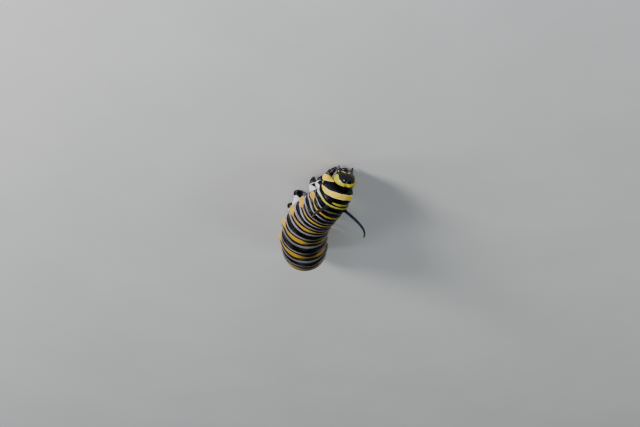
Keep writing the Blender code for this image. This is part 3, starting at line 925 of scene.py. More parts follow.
skin_side = np.abs(whole_skin[1])
end_fields = [make(*whole_skin, skin_side) for make in (collar, side_spot, short_bar, pale_ring)]
band_fields = end_fields + tail_bands(skin_upright, skin_side) + band_fields
print("bands with both ends:", len(band_fields))

# %% White blotches
# Low on the sides: degrees from the back, and radius.
BLOTCHES = {"thorax_1": (139, 0.3), "thorax_2": (136, 0.5), "thorax_3": (134, 0.7)}
BLOTCHES.update({f"abdomen_{n}": (132, 0.5) for n in (1, 2, 7, 8)})
# On a true leg: share of its way, mm outwards, and radius.
LEG_BLOTCH = (0.22, 0.5, 0.74)
# On a false leg, counted in its size: share of its way, outwards, headwards, and radius.
PROLEG_BLOTCHES = ((0.42, 0.92, 0, 0.8), (0.6, 0.62, 0.62, 0.78))
BLOTCH_WAVES = ((3.1, 2.3, 1.7), (-2.2, 4.3, 5.1), (6.3, -3.7, 4.9))
BLOTCH_WAVER = 0.045


def patch_rows():
    """Middle and radius of every white blotch on the lower sides, the leg bases and false legs."""
    rows = []
    for segment, (degrees, size) in BLOTCHES.items():
        rows += [(on_body(segment, 0.5, sign * degrees)[0], size) for sign in SIDES.values()]
    share, out, size = LEG_BLOTCH
    for name in list(LEG_FEET)[2:]:
        sign = SIDES[name.split("_")[-1]]
        outward = on_body(LEG_FEET[name][0], LEG_SHARE, sign * LEG_ANGLE)[1]
        rows.append((bezier(leg_controls(name), share) + out * outward, size))
    for _, segment, degrees, foot, scale in prolegs:
        root, outward = on_body(segment, 0.5, degrees, PROLEG_DEPTH)
        outer = unit(outward * LEVEL)
        ahead = -read_line(line_axis, place_in(segment)) * LEVEL
        for share, out, on, size in PROLEG_BLOTCHES:
            middle = root + share * (foot - root) + scale * (out * outer + on * ahead)
            rows.append((middle, size * scale))
    return rows


def side_patches(points):
    """White blotches: a radius less the distance from their middle, wavering over the skin."""
    best = np.full(len(points), -9.0)
    for middle, size in patch_rows():
        best = np.maximum(best, size - np.linalg.norm(points - middle, axis=1))
    waver = sum(np.sin(points @ wave + k) for k, wave in enumerate(BLOTCH_WAVES))
    return best + BLOTCH_WAVER * waver, WHITE + 0 * points


print("white blotches:", len(patch_rows()))

# %% All markings together
SPIRACLE_SHARE = 0.27  # behind the yellow band
SPIRACLE_ANGLE = 97
SPIRACLE_BARE = 0.27  # radius of the black round each hole
BARE_LEGS = (0.8, 1.5)  # mm along the body from where the legs wear no bands
DEGREE = 0.06  # mm round the skin in a degree


def gather(fields):
    """The largest signed distance at each point, with the colour that belongs to it."""
    distances = np.stack([field[0] for field in fields])
    colours = np.stack([field[1] + 0 * fields[0][1] for field in fields])
    winner = np.argmax(distances, axis=0)
    index = np.arange(distances.shape[1])
    return distances[winner, index], colours[winner, index]


def spiracle_rows():
    """Place along the line and angle of each breathing hole, behind the yellow band's patch."""
    rows = []
    for name in list(BANDS)[1:]:
        yellow, swing = BANDS[name][1], BANDS[name][3]
        i = NAMES.index(name)
        s_hole = ends[i] + (yellow - swing + SPIRACLE_SHARE) * lengths[i]
        rows += [(s_hole, sign * SPIRACLE_ANGLE) for sign in SIDES.values()]
    return rows


def spiracles(s, degrees):
    """Distance from the nearest breathing hole, in mm, over the skin."""
    nearest = np.full(len(s), 9.0)
    for s_hole, angle in spiracle_rows():
        nearest = np.minimum(nearest, np.hypot(s - s_hole, (degrees - angle) * DEGREE))
    return nearest


hole_distance = spiracles(*whole_skin)
band_edge, band_colour = gather(band_fields)
band_edge = np.minimum(band_edge, hole_distance - SPIRACLE_BARE)
band_edge = np.minimum(band_edge, 0.3 - 2.0 * limb * ramp(skin_s, *BARE_LEGS))
marking_edge, marking_colour = gather([(band_edge, band_colour), side_patches(skin_points)])
print("share of skin marked:", round(float((marking_edge > 0).mean()), 2))

# %% [markdown]
# ## Folds and wrinkles
#
# The bands are the crests of shallow folds, and the black between them lies in the grooves. Fine
# pleats cross the grooves where the body is squeezed, and the skin puckers round each breathing
# hole. They are real displacement along the radius, because bump alone vanishes at an outline.

# %% Skin folds
CREST = 0.055
CREST_FROM = (-0.25, 0.12)  # distances to a marking's edge
PLEAT = 0.013
RIPPLE = 0.008
RIPPLE_LENGTH = 0.47
HOLLOW = 0.05  # round each breathing hole
CHEEK = 0.32  # how far the first segment bulges forwards on each side of the head
CHEEK_AT = (0.2, 117)  # mm along the body, and degrees from the back
CHEEK_SPREAD = (0.7, 22)


def fold_height(s, degrees, edge):
    """Crests where bands are, finer ripples along and across, and the rims of the holes."""
    crest = CREST * (ramp(edge, *CREST_FROM) - 0.5)
    near_groove = bell(np.min(np.abs(s[:, None] - creases), axis=1), 0.4)
    angle = np.radians(degrees)
    pleats = np.sin(41 * angle + 2.2 * np.sin(1.9 * s)) + np.sin(67 * angle - 1.4 * s)
    ripples = np.sin(2 * np.pi * s / RIPPLE_LENGTH + 1.2 * np.sin(3 * angle + s))
    hollow = HOLLOW * bell(hole_distance, 0.2)
    return crest + PLEAT * near_groove * pleats / 2 + RIPPLE * ripples - hollow


away = unit(skin_points - read_line(line_point, skin_s))
lift = fold_height(skin_upright, skin_degrees, band_edge) * (1 - limb)
lift *= ramp(skin_s, 0.1, 0.5) * ramp(ends[-1] - skin_s, 0.2, 0.8)
skin_points = skin_points + lift[:, None] * away
cheek = CHEEK * bell(skin_s - CHEEK_AT[0], CHEEK_SPREAD[0])
cheek = cheek * bell(around_side - CHEEK_AT[1], CHEEK_SPREAD[1])
skin_points = skin_points - cheek[:, None] * read_line(line_axis, skin_s)
skin_points[:, 2] = np.maximum(skin_points[:, 2], 0.0)
print("lift of the skin, mm:", round(float(lift.min()), 3), round(float(lift.max()), 3))

# %% [markdown]
# ## Finishes
#
# A larva's cuticle is satin, not plastic: it is covered in grains finer than a hair, and the
# pigment sits in it with soft, uneven edges. The shader reads the distance to the marking, moves
# it a little with noise, and blends black into colour across a few hundredths of a millimetre.

# %% Shader helpers
class Nodes:
    """Builds a material's nodes with short calls; constants go straight into sockets."""

    def __init__(self, name):
        self.material = bpy.data.materials.new(name)
        self.material.use_nodes = True
        self.tree = self.material.node_tree
        self.shader = self.tree.nodes["Principled BSDF"]
        self.place = self.add("ShaderNodeTexCoord").outputs["Object"]

    def put(self, socket, value):
        """Links a socket to another, or sets its constant; a colour gets its fourth channel."""
        if isinstance(value, bpy.types.NodeSocket):
            self.tree.links.new(value, socket)
        elif socket.type == "RGBA":
            socket.default_value = (*value, 1.0)
        else:
            socket.default_value = value

    def add(self, kind, inputs=None, **settings):
        """A node with its settings, its inputs linked or set by name or by number."""
        node = self.tree.nodes.new(kind)
        for key, value in settings.items():
            setattr(node, key, value)
        for key, value in (inputs or {}).items():
            self.put(node.inputs[key], value)
        return node

    def noise(self, scale, detail=2.0, roughness=0.5):
        """Noise of so many spots in a metre, between 0 and 1."""
        inputs = {"Vector": self.place, "Scale": scale, "Detail": detail, "Roughness": roughness}
        return self.add("ShaderNodeTexNoise", inputs).outputs["Fac"]

    def grains(self, scale):
        """Distance to the nearest of scattered points, for a grained skin."""
        inputs = {"Vector": self.place, "Scale": scale}
        return self.add("ShaderNodeTexVoronoi", inputs).outputs["Distance"]

    def math(self, operation, first, second):
        """The sum, product or other operation of two values."""
        return self.add("ShaderNodeMath", {0: first, 1: second}, operation=operation).outputs[0]

    def steps(self, value, low, high, to_low=0.0, to_high=1.0):
        """Value taken smoothly from the range low..high to the range to_low..to_high."""
        inputs = {"Value": value, "From Min": low, "From Max": high}
        inputs.update({"To Min": to_low, "To Max": to_high})
        node = self.add("ShaderNodeMapRange", inputs, interpolation_type="SMOOTHSTEP")
        return node.outputs["Result"]

    def blend(self, amount, first, second, mode="MIX"):
        """Two colours mixed; a colour Mix node keeps them in its inputs 6 and 7."""
        inputs = {0: amount, 6: first, 7: second}
        return self.add("ShaderNodeMix", inputs, data_type="RGBA", blend_type=mode).outputs[2]

    def attribute(self, name, output="Fac"):
        """A value or colour kept on the mesh."""
        return self.add("ShaderNodeAttribute", attribute_name=name).outputs[output]

    def bump(self, height, distance, strength):
        """Tilts the shader's normal by a height, of so many metres at most."""
        inputs = {"Height": height, "Distance": distance, "Strength": strength}
        self.feed(Normal=self.add("ShaderNodeBump", inputs).outputs["Normal"])

    def feed(self, **sockets):
        """Links or sets the shader's own sockets, named with underscores for spaces."""
        for name, value in sockets.items():
            self.put(self.shader.inputs[name.replace("_", " ")], value)


def mark(piece, edge, colours):
    """Keeps the distance to a marking's edge, and the marking's colour, on every vertex."""
    attributes = piece.data.attributes
    attributes.new("edge", "FLOAT", "POINT").data.foreach_set("value", edge.astype(np.float32))
    colours = np.concatenate([colours, np.ones((len(colours), 1))], axis=1).astype(np.float32)
    attributes.new("marking", "FLOAT_COLOR", "POINT").data.foreach_set("color", colours.ravel())


# %% Marked skin and shell
EDGE = (-0.022, 0.026)  # mm over which black turns into the marking
RIM = (0.02, 0.1)  # mm over which the marking's paler rim dies out
FRAY = 0.02
SAND = (0.7, 0.6, 0.3)
TAN = (0.85, 0.66, 0.4)
COAT_ROUGHNESS = 0.2


def marked_finish(name, black, roughness, grain, grain_depth, coat, shine):
    """Black cuticle with markings: noise frays their edges and mottles their colour."""
    nodes = Nodes(name)
    fray = nodes.steps(nodes.noise(3600, 3.0, 0.55), 0.25, 0.75, -FRAY, FRAY)
    edge = nodes.math("ADD", nodes.attribute("edge"), fray)
    inside = nodes.steps(edge, *EDGE)
    rim = nodes.steps(edge, *RIM, 1.0, 0.0)
    mottle = nodes.steps(nodes.noise(2300, 4.0, 0.6), 0.4, 0.68)
    colour = nodes.attribute("marking", "Color")
    lighter = nodes.blend(0.3, colour, SAND)
    darker = nodes.blend(0.5, colour, TAN, "MULTIPLY")
    colour = nodes.blend(nodes.math("MULTIPLY", mottle, 0.5), colour, darker)
    colour = nodes.blend(nodes.math("MULTIPLY", rim, 0.5), colour, lighter)
    dust = nodes.steps(nodes.noise(6000, 3.0, 0.55), 0.5, 0.75)
    dusted = tuple(0.006 + 1.4 * channel for channel in black)
    dark = nodes.blend(nodes.math("MULTIPLY", dust, 0.6), black, dusted)
    nodes.feed(Base_Color=nodes.blend(inside, dark, colour))
    uneven = nodes.steps(nodes.noise(3100, 2.0, 0.5), 0.3, 0.7, -0.06, 0.06)
    rough = nodes.steps(inside, 0.0, 1.0, *roughness)
    nodes.feed(Roughness=nodes.math("ADD", rough, uneven))
    nodes.feed(Coat_Weight=coat, Coat_Roughness=COAT_ROUGHNESS, Specular_IOR_Level=shine)
    fine = nodes.steps(nodes.grains(grain), 0.0, 0.7)
    height = nodes.math("ADD", fine, nodes.noise(grain / 3, 3.0, 0.6))
    nodes.bump(height, grain_depth, 0.45)
    return nodes.material


skin_finish = marked_finish(
    "banded cuticle", (0.0012, 0.001, 0.0022), (0.3, 0.46), 34000, 0.000006, 0.0, 0.13
)
shell_finish = marked_finish(
    "marked shell", (0.002, 0.0018, 0.0035), (0.2, 0.3), 12000, 0.000004, 0.1, 0.32
)
print("finishes:", skin_finish.name, "and", shell_finish.name)

# %% Dress the body
soft_nodes = NAMES + [row[0] for row in prolegs]
no_triangles = np.zeros((0, 3), int)
skin_part = (skin_points, skin_quads, no_triangles)
skin = add_piece("skin", skin_part, skin_finish, "banded_skin", *soft_nodes)
mark(skin, marking_edge, marking_colour)
print("skin stands in for", len(soft_nodes), "solids")

# %% [markdown]
# ## Head
#
# The head is a hard, shining capsule parted into two lobes by a groove that forks over the face.
# An egg alone would pass for a bead. The capsule is worked out on a grid of polar angle and
# turn: a rounded box for the lobes, less a bell across the cleft and along the two seams of the
# face plate. Low on each cheek stand six simple eyes, small clear domes in a ring. They are
# pieces of their own, because a dome drawn on the capsule's grid would be only a few cells wide.

# %% Head frame
HEAD_HALF_WIDTH = 1.74
HEAD_HALF_HEIGHT = 1.75
HEAD_HALF_DEPTH = 1.3
HEAD_HEADING = np.radians(18)
HEAD_PITCH = np.radians(30)
HEAD_AHEAD = 0.8
HEAD_TO_RIGHT = 0.25

level = np.cos(HEAD_PITCH)
head_forward = np.array(
    (-np.sin(HEAD_HEADING) * level, -np.cos(HEAD_HEADING) * level, -np.sin(HEAD_PITCH))
)
head_left = np.array((np.cos(HEAD_HEADING), -np.sin(HEAD_HEADING), 0.0))
head_up = np.cross(head_left, head_forward)
head_up *= np.sign(head_up[2])
head_middle = line_point[0] + HEAD_AHEAD * head_forward - HEAD_TO_RIGHT * head_left


def in_head(left, forward, up):
    """World places of points given by their left, forward and up from the head's middle."""
    left, forward, up = np.broadcast_arrays(left, forward, up)
    return (
        head_middle
        + left[..., None] * head_left
        + forward[..., None] * head_forward
        + up[..., None] * head_up
    )


# %% Head capsule
HEAD_ROWS = 170
HEAD_COLUMNS = 240
HEAD_POLES = (0.03, 0.12)  # angles left open at the face and at the neck
CLEFT = 0.2
CLEFT_SPREAD = 10
SEAM_DEPTH = 0.05
SEAM_WIDTH = 0.05
SEAM_APEX = 0.05
EYE_FIELD = (1.14, -0.84, 0.5)  # left, up and radius of the black field round the simple eyes
# Over the turn from the top, in degrees: the polar angle of the arch's middle, and mm.
ARCH_MIDDLE = ((0, 40, 80, 108, 140, 180), (86, 83, 71, 73, 82, 84))
ARCH_HALF_WIDTH = ((0, 40, 80, 104, 140), (0.26, 0.34, 0.6, 0.4, 0.08))
ARCH_RADIUS = 1.45  # of the capsule, for turning degrees into mm
ARCH_STOP = 136
INNER_HALF_WIDTH = 0.11
INNER_OFF = 0.2  # how far outside the seam the inner arch runs
LIP_BAND = (-1.33, 0.12, 0.62)  # height, half width and half length
BOXINESS = 0.84  # a power below one squares the capsule off


def seam_leg(up):
    """How far from the middle a leg of the fork is: a power of the depth below its apex."""
    return 0.52 * np.clip(SEAM_APEX - up, 0, 1.25) ** 0.85


def seam_distance(left, up):
    """Distance from the forked seam of the face: a line down the middle, then two legs."""
    stem = np.where(up > SEAM_APEX, np.abs(left), 9.0)
    leg = np.abs(np.abs(left) - seam_leg(up)) * 0.85
    fork = np.where(up <= SEAM_APEX, leg, np.hypot(left, up - SEAM_APEX))
    return np.minimum(stem, np.where(up < -1.2, 9.0, fork))


def head_grid():
    """Left, forward and up of the capsule on a grid of polar angle from the face and turn."""
    polar = np.linspace(HEAD_POLES[0], np.pi - HEAD_POLES[1], HEAD_ROWS)[:, None]
    turn = full_turn(HEAD_COLUMNS)[None]
    reach = np.sin(polar) ** BOXINESS
    cleft = CLEFT * bell(off_top(turn), CLEFT_SPREAD) * ramp(polar, 0.5, 1.3)
    left = HEAD_HALF_WIDTH * reach * np.sin(turn)
    up = (HEAD_HALF_HEIGHT - cleft) * reach * np.cos(turn)
    forward = HEAD_HALF_DEPTH * np.cos(polar) + 0 * turn
    front = ramp(np.cos(polar), 0.1, 0.6)
    sunk = SEAM_DEPTH * bell(seam_distance(left, up), SEAM_WIDTH) * front
    shrink = 1 - sunk / np.sqrt(left**2 + up**2 + forward**2)
    return left * shrink, forward * shrink, up * shrink


def outer_arch(left, forward, up):
    """Half width less the distance from a line of polar angle over turn, kept off the eyes."""
    polar = np.degrees(np.arccos(np.clip(forward / HEAD_HALF_DEPTH, -1, 1)))
    turn = np.degrees(np.abs(np.arctan2(left, up)))
    off = np.abs(polar - smooth_curve(*ARCH_MIDDLE, turn)) * np.pi / 180 * ARCH_RADIUS
    arch = smooth_curve(*ARCH_HALF_WIDTH, turn) - off
    arch = rounded_least(arch, (ARCH_STOP - turn) * 0.03, 0.1)
    beside_eyes = np.hypot(np.abs(left) - EYE_FIELD[0], up - EYE_FIELD[1]) - EYE_FIELD[2]
    return np.minimum(arch, np.where(forward > 0, beside_eyes, 1.0))


def inner_arch(left, up):
    """A line just outside each leg of the forked seam, from its apex down."""
    edge = INNER_HALF_WIDTH - np.abs(np.abs(left) - seam_leg(up) - INNER_OFF) * 0.85
    edge = np.minimum(edge, (SEAM_APEX - 0.02 - up) * 0.7)
    return np.minimum(edge, up + 1.15)


def head_markings(left, forward, up):
    """The outer arch over the crown, the inner one along the face seams, and the lip band."""
    left, forward, up = (np.ravel(value) for value in (left, forward, up))
    lip = np.minimum(LIP_BAND[1] - np.abs(up - LIP_BAND[0]), LIP_BAND[2] - np.abs(left))
    ones = np.ones((left.size, 1))
    return gather(
        [
            (outer_arch(left, forward, up), LEMON * ones),
            (np.where(forward > 0, inner_arch(left, up), -1.0), mix(LEMON, CREAM, 0.35)),
            (np.where(forward > 0, lip, -1.0), CREAM),
        ]
    )


def close_values(values):
    """Adds the values of the two cap points of a tube, as the means of the end rows."""
    rows = values.reshape(HEAD_ROWS, HEAD_COLUMNS, -1)
    caps = np.stack([rows[0].mean(axis=0), rows[-1].mean(axis=0)])
    return np.vstack([rows.reshape(-1, rows.shape[-1]), caps]).squeeze()


hl, hf, hu = head_grid()
head_edge, head_colour = head_markings(hl, hf, hu)
capsule_part = tube(in_head(hl, hf, hu))
capsule = add_piece("head_capsule", capsule_part, shell_finish, "black_horn", "head")
mark(capsule, close_values(head_edge), close_values(head_colour))
print("head:", len(capsule.data.vertices), "points")

# %% Horn finishes
def plain_finish(name, colour, rough, grain, depth, coat, shine=0.4):
    """One colour of horn or skin, mottled and grained."""
    nodes = Nodes(name)
    spots = nodes.steps(nodes.noise(4200, 3.0, 0.55), 0.35, 0.75)
    lighter = tuple(channel * 1.6 + 0.004 for channel in colour)
    nodes.feed(Base_Color=nodes.blend(spots, colour, lighter))
    nodes.feed(Roughness=nodes.steps(nodes.noise(2500), 0.3, 0.7, rough - 0.05, rough + 0.07))
    nodes.feed(Coat_Weight=coat, Coat_Roughness=COAT_ROUGHNESS, Specular_IOR_Level=shine)
    nodes.bump(nodes.grains(grain), depth, 0.4)
    return nodes.material


horn_finish = plain_finish("black horn", (0.004, 0.0035, 0.006), 0.2, 16000, 0.000005, 0.2)
feeler_finish = plain_finish(
    "black feeler skin", (0.004, 0.006, 0.016), 0.3, 24000, 0.00001, 0.0, 0.16
)
hook_finish = plain_finish("hook horn", (0.05, 0.022, 0.008), 0.3, 12000, 0.00001, 0.0)

# %% Simple eyes
EYES = ((1.1, -0.5), (1.27, -0.64), (1.31, -0.86), (1.19, -1.06), (0.93, -0.72), (0.9, -1.16))
EYE_RADIUS = 0.085
EYE_RIM = np.array(((1.3, -0.9), (1.28, 0.08), (1.08, 0.12)))  # radii and heights over the eye's
EYE_RISE = (0.08, 0.6)  # of the dome: where it starts, and how tall it is
EYE_COLUMNS = 18


def lathe(middle, axis, radii, heights, columns, stretch=1.0):
    """A tube of circles or ovals of the given radii, at heights along an axis."""
    axis = unit(axis)
    first = unit(np.cross(axis, (0.0, 0.0, 1.0)))
    wheel = wheels(first, stretch * np.cross(axis, first), columns)
    stations = middle + heights[:, None] * axis
    return tube(stations[:, None] + radii[:, None, None] * wheel)


def eye_domes():
    """Twelve domes with a low rim: the radius falls by the cosine as the height grows by the sine."""
    rise = np.linspace(0, np.pi / 2 - 0.15, 9)
    radii = EYE_RADIUS * np.concatenate([EYE_RIM[:, 0], np.cos(rise)])
    dome = EYE_RISE[0] + EYE_RISE[1] * np.sin(rise)
    heights = EYE_RADIUS * np.concatenate([EYE_RIM[:, 1], dome])
    domes = []
    for sign in SIDES.values():
        for across_face, up_face in EYES:
            off = np.hypot(hl - sign * across_face, hu - up_face) + 9.0 * (hf < 0)
            k = np.unravel_index(np.argmin(off), off.shape)
            place = in_head(hl[k], hf[k], hu[k])
            domes.append(lathe(place, place - head_middle, radii, heights, EYE_COLUMNS))
    return join(domes)


add_piece("simple_eyes", eye_domes(), horn_finish, "black_horn")
print("simple eyes:", 2 * len(EYES))

# %% [markdown]
# ## Mouthparts and feelers of the head
#
# Under the face hang the notched upper lip, two toothed jaws, and a lower lip with its palps and
# the spinneret that lays silk. The short feelers beside them have three joints. Each is a small
# shape carried along a path or an egg with a dent, so a few dozen rows are enough.

# %% Mouthparts
# Places and half sizes are left, forward and up from the middle of the head, in mm.
POLE = 0.06  # angle left open at both ends of a rounded form
EGG_ROWS = 30
EGG_COLUMNS = 36
UPPER_LIP = ((0, 1.05, -1.5), (0.52, 0.3, 0.36), 0.16)  # place, half sizes and notch
LOWER_LIP = ((0, -0.12, -2.0), (0.42, 0.32, 0.34))
JAW_PLACE = (0.5, 0.5, -1.85)
JAW_SIZE = (0.36, 0.42, 0.46)
JAW_ROWS = 34
JAW_COLUMNS = 48
TOOTH = 0.05
# For each stalk: its start and finish, its radii, where its joints are, and its rows.
SPINNERET = (((0, 0.05, -2.05), (0, 0.3, -2.4)), (0.13, 0.12, 0.06, 0.03), (0.4,), 24)
PALP = (((0.3, 0.05, -2.0), (0.42, 0.3, -2.32)), (0.17, 0.15, 0.1, 0.05), (0.35, 0.7), 26)
SHORT_FEELER = (
    ((0.9, 0.7, -1.08), (1.15, 1.6, -1.55)),
    (0.3, 0.27, 0.25, 0.17, 0.15, 0.07),
    (0.38, 0.74),
    40,
)
STALK_COLUMNS = 24
PINCH = (0.22, 0.035)  # depth and reach of the groove at a joint


def egg(place, size, dent=0.0):
    """A rounded form in the head's directions, with a notch cut in its lower edge."""
    polar = np.linspace(POLE, np.pi - POLE, EGG_ROWS)[:, None]
    turn = full_turn(EGG_COLUMNS)[None]
    left = size[0] * np.sin(polar) ** 0.8 * np.cos(turn)
    forward = size[1] * np.sin(polar) * np.sin(turn)
    notch = dent * bell(left, 0.3 * size[0]) * ramp(-np.cos(polar), -0.2, 0.9)
    up = size[2] * np.cos(polar) + notch
    return tube(in_head(place[0] + left, place[1] + forward, place[2] + up + 0 * turn))


def jaw(sign):
    """A jaw: an egg whose cutting edge, low and inwards, is drawn out in four teeth."""
    polar = np.linspace(POLE, np.pi - POLE, JAW_ROWS)[:, None]
    turn = full_turn(JAW_COLUMNS)[None]
    left = JAW_SIZE[0] * np.sin(polar) * np.cos(turn)
    forward = JAW_SIZE[1] * np.sin(polar) * np.sin(turn)
    edge = ramp(-np.cos(polar), 0.2, 1.0)
    teeth = TOOTH * edge * np.cos(forward / JAW_SIZE[1] * 2 * np.pi * 2)
    left = left * (1 - 0.55 * edge) - 0.12 * edge
    up = JAW_PLACE[2] + (JAW_SIZE[2] * np.cos(polar) + 0 * turn) - np.abs(teeth)
    return tube(in_head(sign * (JAW_PLACE[0] + left), JAW_PLACE[1] + forward, up))


def jointed(radii, joints, rows):
    """Radii along a stalk that step down and are pinched at each joint."""
    way = np.linspace(0, 1, rows)
    smooth = smooth_curve(np.linspace(0, 1, len(radii)), radii, way)
    for joint in joints:
        smooth = smooth * (1 - PINCH[0] * bell(way - joint, PINCH[1]))
    smooth[-1] = 0.3 * smooth[-2]
    return smooth


def stalk(between, *profile, sign=1):
    """A short jointed stalk between two places; a sign of minus one mirrors it."""
    start, finish = (in_head(sign * left, forward, up) for left, forward, up in between)
    radii = jointed(*profile)
    way = np.linspace(0, 1, len(radii))
    return sweep(start + way[:, None] * (finish - start), radii, STALK_COLUMNS)


add_piece("upper_lip", egg(*UPPER_LIP), horn_finish, "black_horn", "labrum")
lower = [egg(*LOWER_LIP), stalk(*SPINNERET)]
lower += [stalk(*PALP, sign=sign) for sign in SIDES.values()]
add_piece("lower_lip", join(lower), horn_finish, "black_horn", "labium")
for side, sign in SIDES.items():
    add_piece(f"jaw_{side}", jaw(sign), horn_finish, "black_horn", f"mandible_{side}")
    feeler = stalk(*SHORT_FEELER, sign=sign)
    add_piece(f"short_feeler_{side}", feeler, horn_finish, "black_horn", f"antenna_{side}")
print("mouthparts done")

# %% [markdown]
# ## True legs
#
# A true leg has horny lengths that overlap like armour, with a hooked claw at the end. It is one
# profile along the leg's path: each length swells towards its far end and is pinched at the
# joint, where the paler skin between the plates shows. The claw is a second, thinner sweep that
# curls down to the floor.

# %% True legs
LEG_ROWS = 110
LEG_COLUMNS = 30
LEG_KNOTS = (0.2, 0.3, 0.37, 0.39, 0.41, 0.52, 0.58, 0.6, 0.62, 0.72, 0.77, 0.79, 0.81, 0.89, 0.94)
LEG_PROFILE = (
    0.64, 0.63, 0.6, 0.5, 0.54, 0.53, 0.49, 0.38, 0.42, 0.39, 0.34, 0.25, 0.28, 0.21, 0.1,
)
LEG_JOINT_AT = (0.39, 0.6, 0.79)
LEG_LENGTH = 3.4
CLAW_FROM = 0.82
CLAW_ROWS = 22
CLAW_COLUMNS = 14
CLAW_RADII = (0.14, 0.01)  # what tapers away, and what is left at the point
JOINT_HALF_WIDTH = 0.04
UNMARKED = -0.5
JOINT_COLOUR = np.array((0.06, 0.045, 0.052))


def row_values(values, columns):
    """One value for each row, repeated round the tube and once for each cap point."""
    return np.concatenate([np.repeat(values, columns), values[[0, -1]]])


def claw(name, heel, foot):
    """A thin horn that leaves the heel outwards, curls under itself and ends in a point."""
    inward = unit((read_line(line_point, place_in(LEG_FEET[name][0])) - foot) * LEVEL)
    way = np.linspace(0, 1, CLAW_ROWS)
    out = heel - 0.3 * inward + (0, 0, -0.1)
    over = foot - 0.26 * inward + (0, 0, 0.22)
    path = bezier((heel, out, over, foot + 0.16 * inward + (0, 0, 0.02)), way)
    radii = CLAW_RADII[0] * (1 - way) ** 0.75 + CLAW_RADII[1]
    path[:, 2] = np.maximum(path[:, 2], radii + foot[2])
    return sweep(path, radii, CLAW_COLUMNS)


def true_leg(name):
    """Lengths of a leg from a profile of knots, its claw, and the distance to a joint's edge."""
    controls = leg_controls(name)
    t = np.linspace(LEG_KNOTS[0], LEG_KNOTS[-1], LEG_ROWS)
    radii = np.interp(t, LEG_KNOTS, LEG_PROFILE)
    leg = sweep(bezier(controls, t), radii, LEG_COLUMNS)
    horn = claw(name, bezier(controls, CLAW_FROM), controls[3])
    nearest = np.min(np.abs(t[:, None] - LEG_JOINT_AT), axis=1) * LEG_LENGTH
    edge = row_values(JOINT_HALF_WIDTH - nearest, LEG_COLUMNS)
    return join([leg, horn]), np.concatenate([edge, np.full(len(horn[0]), UNMARKED)])


for leg_name in LEG_FEET:
    number, side = leg_name.split("_")[1:]
    leg_part, leg_edge = true_leg(leg_name)
    leg = add_piece(f"walking_leg_{number}_{side}", leg_part, shell_finish, "black_horn", leg_name)
    mark(leg, leg_edge, JOINT_COLOUR + np.zeros((len(leg_edge), 3)))
print("true legs:", len(LEG_FEET))

# %% [markdown]
# ## Breathing holes and sole hooks
#
# Each segment from the first of the abdomen to the eighth breathes through an oval hole with a
# raised rim, low on both sides. The false legs hold on with a crescent of small brown hooks
# round the inner edge of each sole. Rims are turned like the eyes. The hooks of a sole are made
# together: one curve in the plane of radius and height, swung round to many angles at once.

# %% Breathing holes
HOLE_RADIUS = 0.125
HOLE_STRETCH = 1.5
HOLE_COLUMNS = 22
HOLE_PROFILE = ((1.35, -0.6), (1.3, 0.1), (1.12, 0.28), (0.9, 0.22), (0.7, -0.1), (0.3, -0.22))


def skin_normals():
    """The outward direction at every vertex of the skin."""
    normals = np.empty(len(skin_points) * 3, np.float32)
    skin.data.vertices.foreach_get("normal", normals)
    return normals.reshape(-1, 3).astype(float)


def breathing_holes():
    """Oval rims on the skin: each sits on the skin's nearest point and faces along its normal."""
    normals = skin_normals()
    radii, heights = (HOLE_RADIUS * column for column in np.array(HOLE_PROFILE).T)
    rims = []
    for s_hole, degrees in spiracle_rows():
        k = np.argmin(np.hypot(skin_upright - s_hole, (whole_skin[1] - degrees) * DEGREE))
        rims.append(lathe(skin_points[k], normals[k], radii, heights, HOLE_COLUMNS, HOLE_STRETCH))
    return join(rims)


add_piece("breathing_holes", breathing_holes(), horn_finish, "black_horn")
print("breathing holes:", len(spiracle_rows()))

# %% Sole hooks
HOOKS_ON_SOLE = 20
HOOK_ROWS = 6
HOOK_COLUMNS = 5
HOOK_REACH = np.radians(95)
HOOK_RADII = (0.035, 0.005)
# Radius over the sole's own, and height in mm, of the four points that bend a hook.
HOOK_BEND = ((0.52, 0.24), (0.74, 0.24), (0.8, 0.07), (0.62, 0.02))


def sole_hooks(segment, foot, size):
    """One bent curve of radius and height, swung round the foot to every hook's angle."""
    inward = read_line(line_point, place_in(segment)) - foot
    start = np.arctan2(inward[1], inward[0])
    angle = start + np.linspace(-HOOK_REACH, HOOK_REACH, HOOKS_ON_SOLE)
    outwards = np.stack([np.cos(angle), np.sin(angle), 0 * angle], axis=1)
    sideways = np.stack([-np.sin(angle), np.cos(angle), 0 * angle], axis=1)
    way = np.linspace(0, 1, HOOK_ROWS)
    bend = bezier([(size * radius, height, 0.0) for radius, height in HOOK_BEND], way)
    path = foot + bend[None, :, :1] * outwards[:, None] + bend[None, :, 1:2] * (0.0, 0.0, 1.0)
    second = np.cross(unit(np.gradient(path, axis=1)), sideways[:, None])
    radii = HOOK_RADII[0] * (1 - way) ** 0.6 + HOOK_RADII[1]
    wheel = wheels(sideways[:, None], second, HOOK_COLUMNS)
    grids = path[:, :, None] + radii[:, None, None] * wheel
    grids[..., 2] = np.maximum(grids[..., 2], 0.004)
    return [tube(grid) for grid in grids]


hook_parts = [
    hook for _, segment, _, foot, size in prolegs for hook in sole_hooks(segment, foot, size)
]
add_piece("sole_hooks", join(hook_parts), hook_finish, "black_horn")
print("hooks:", len(hook_parts))

# %% [markdown]
# ## Fine hairs
#
# The larva looks bare, but short stiff hairs stand on its head, legs and lower sides, and catch
# the light against the black. A particle system would keep them out of an exported model, so
# they are slim cones of a few faces, all made in one go on points drawn from a seeded lottery.

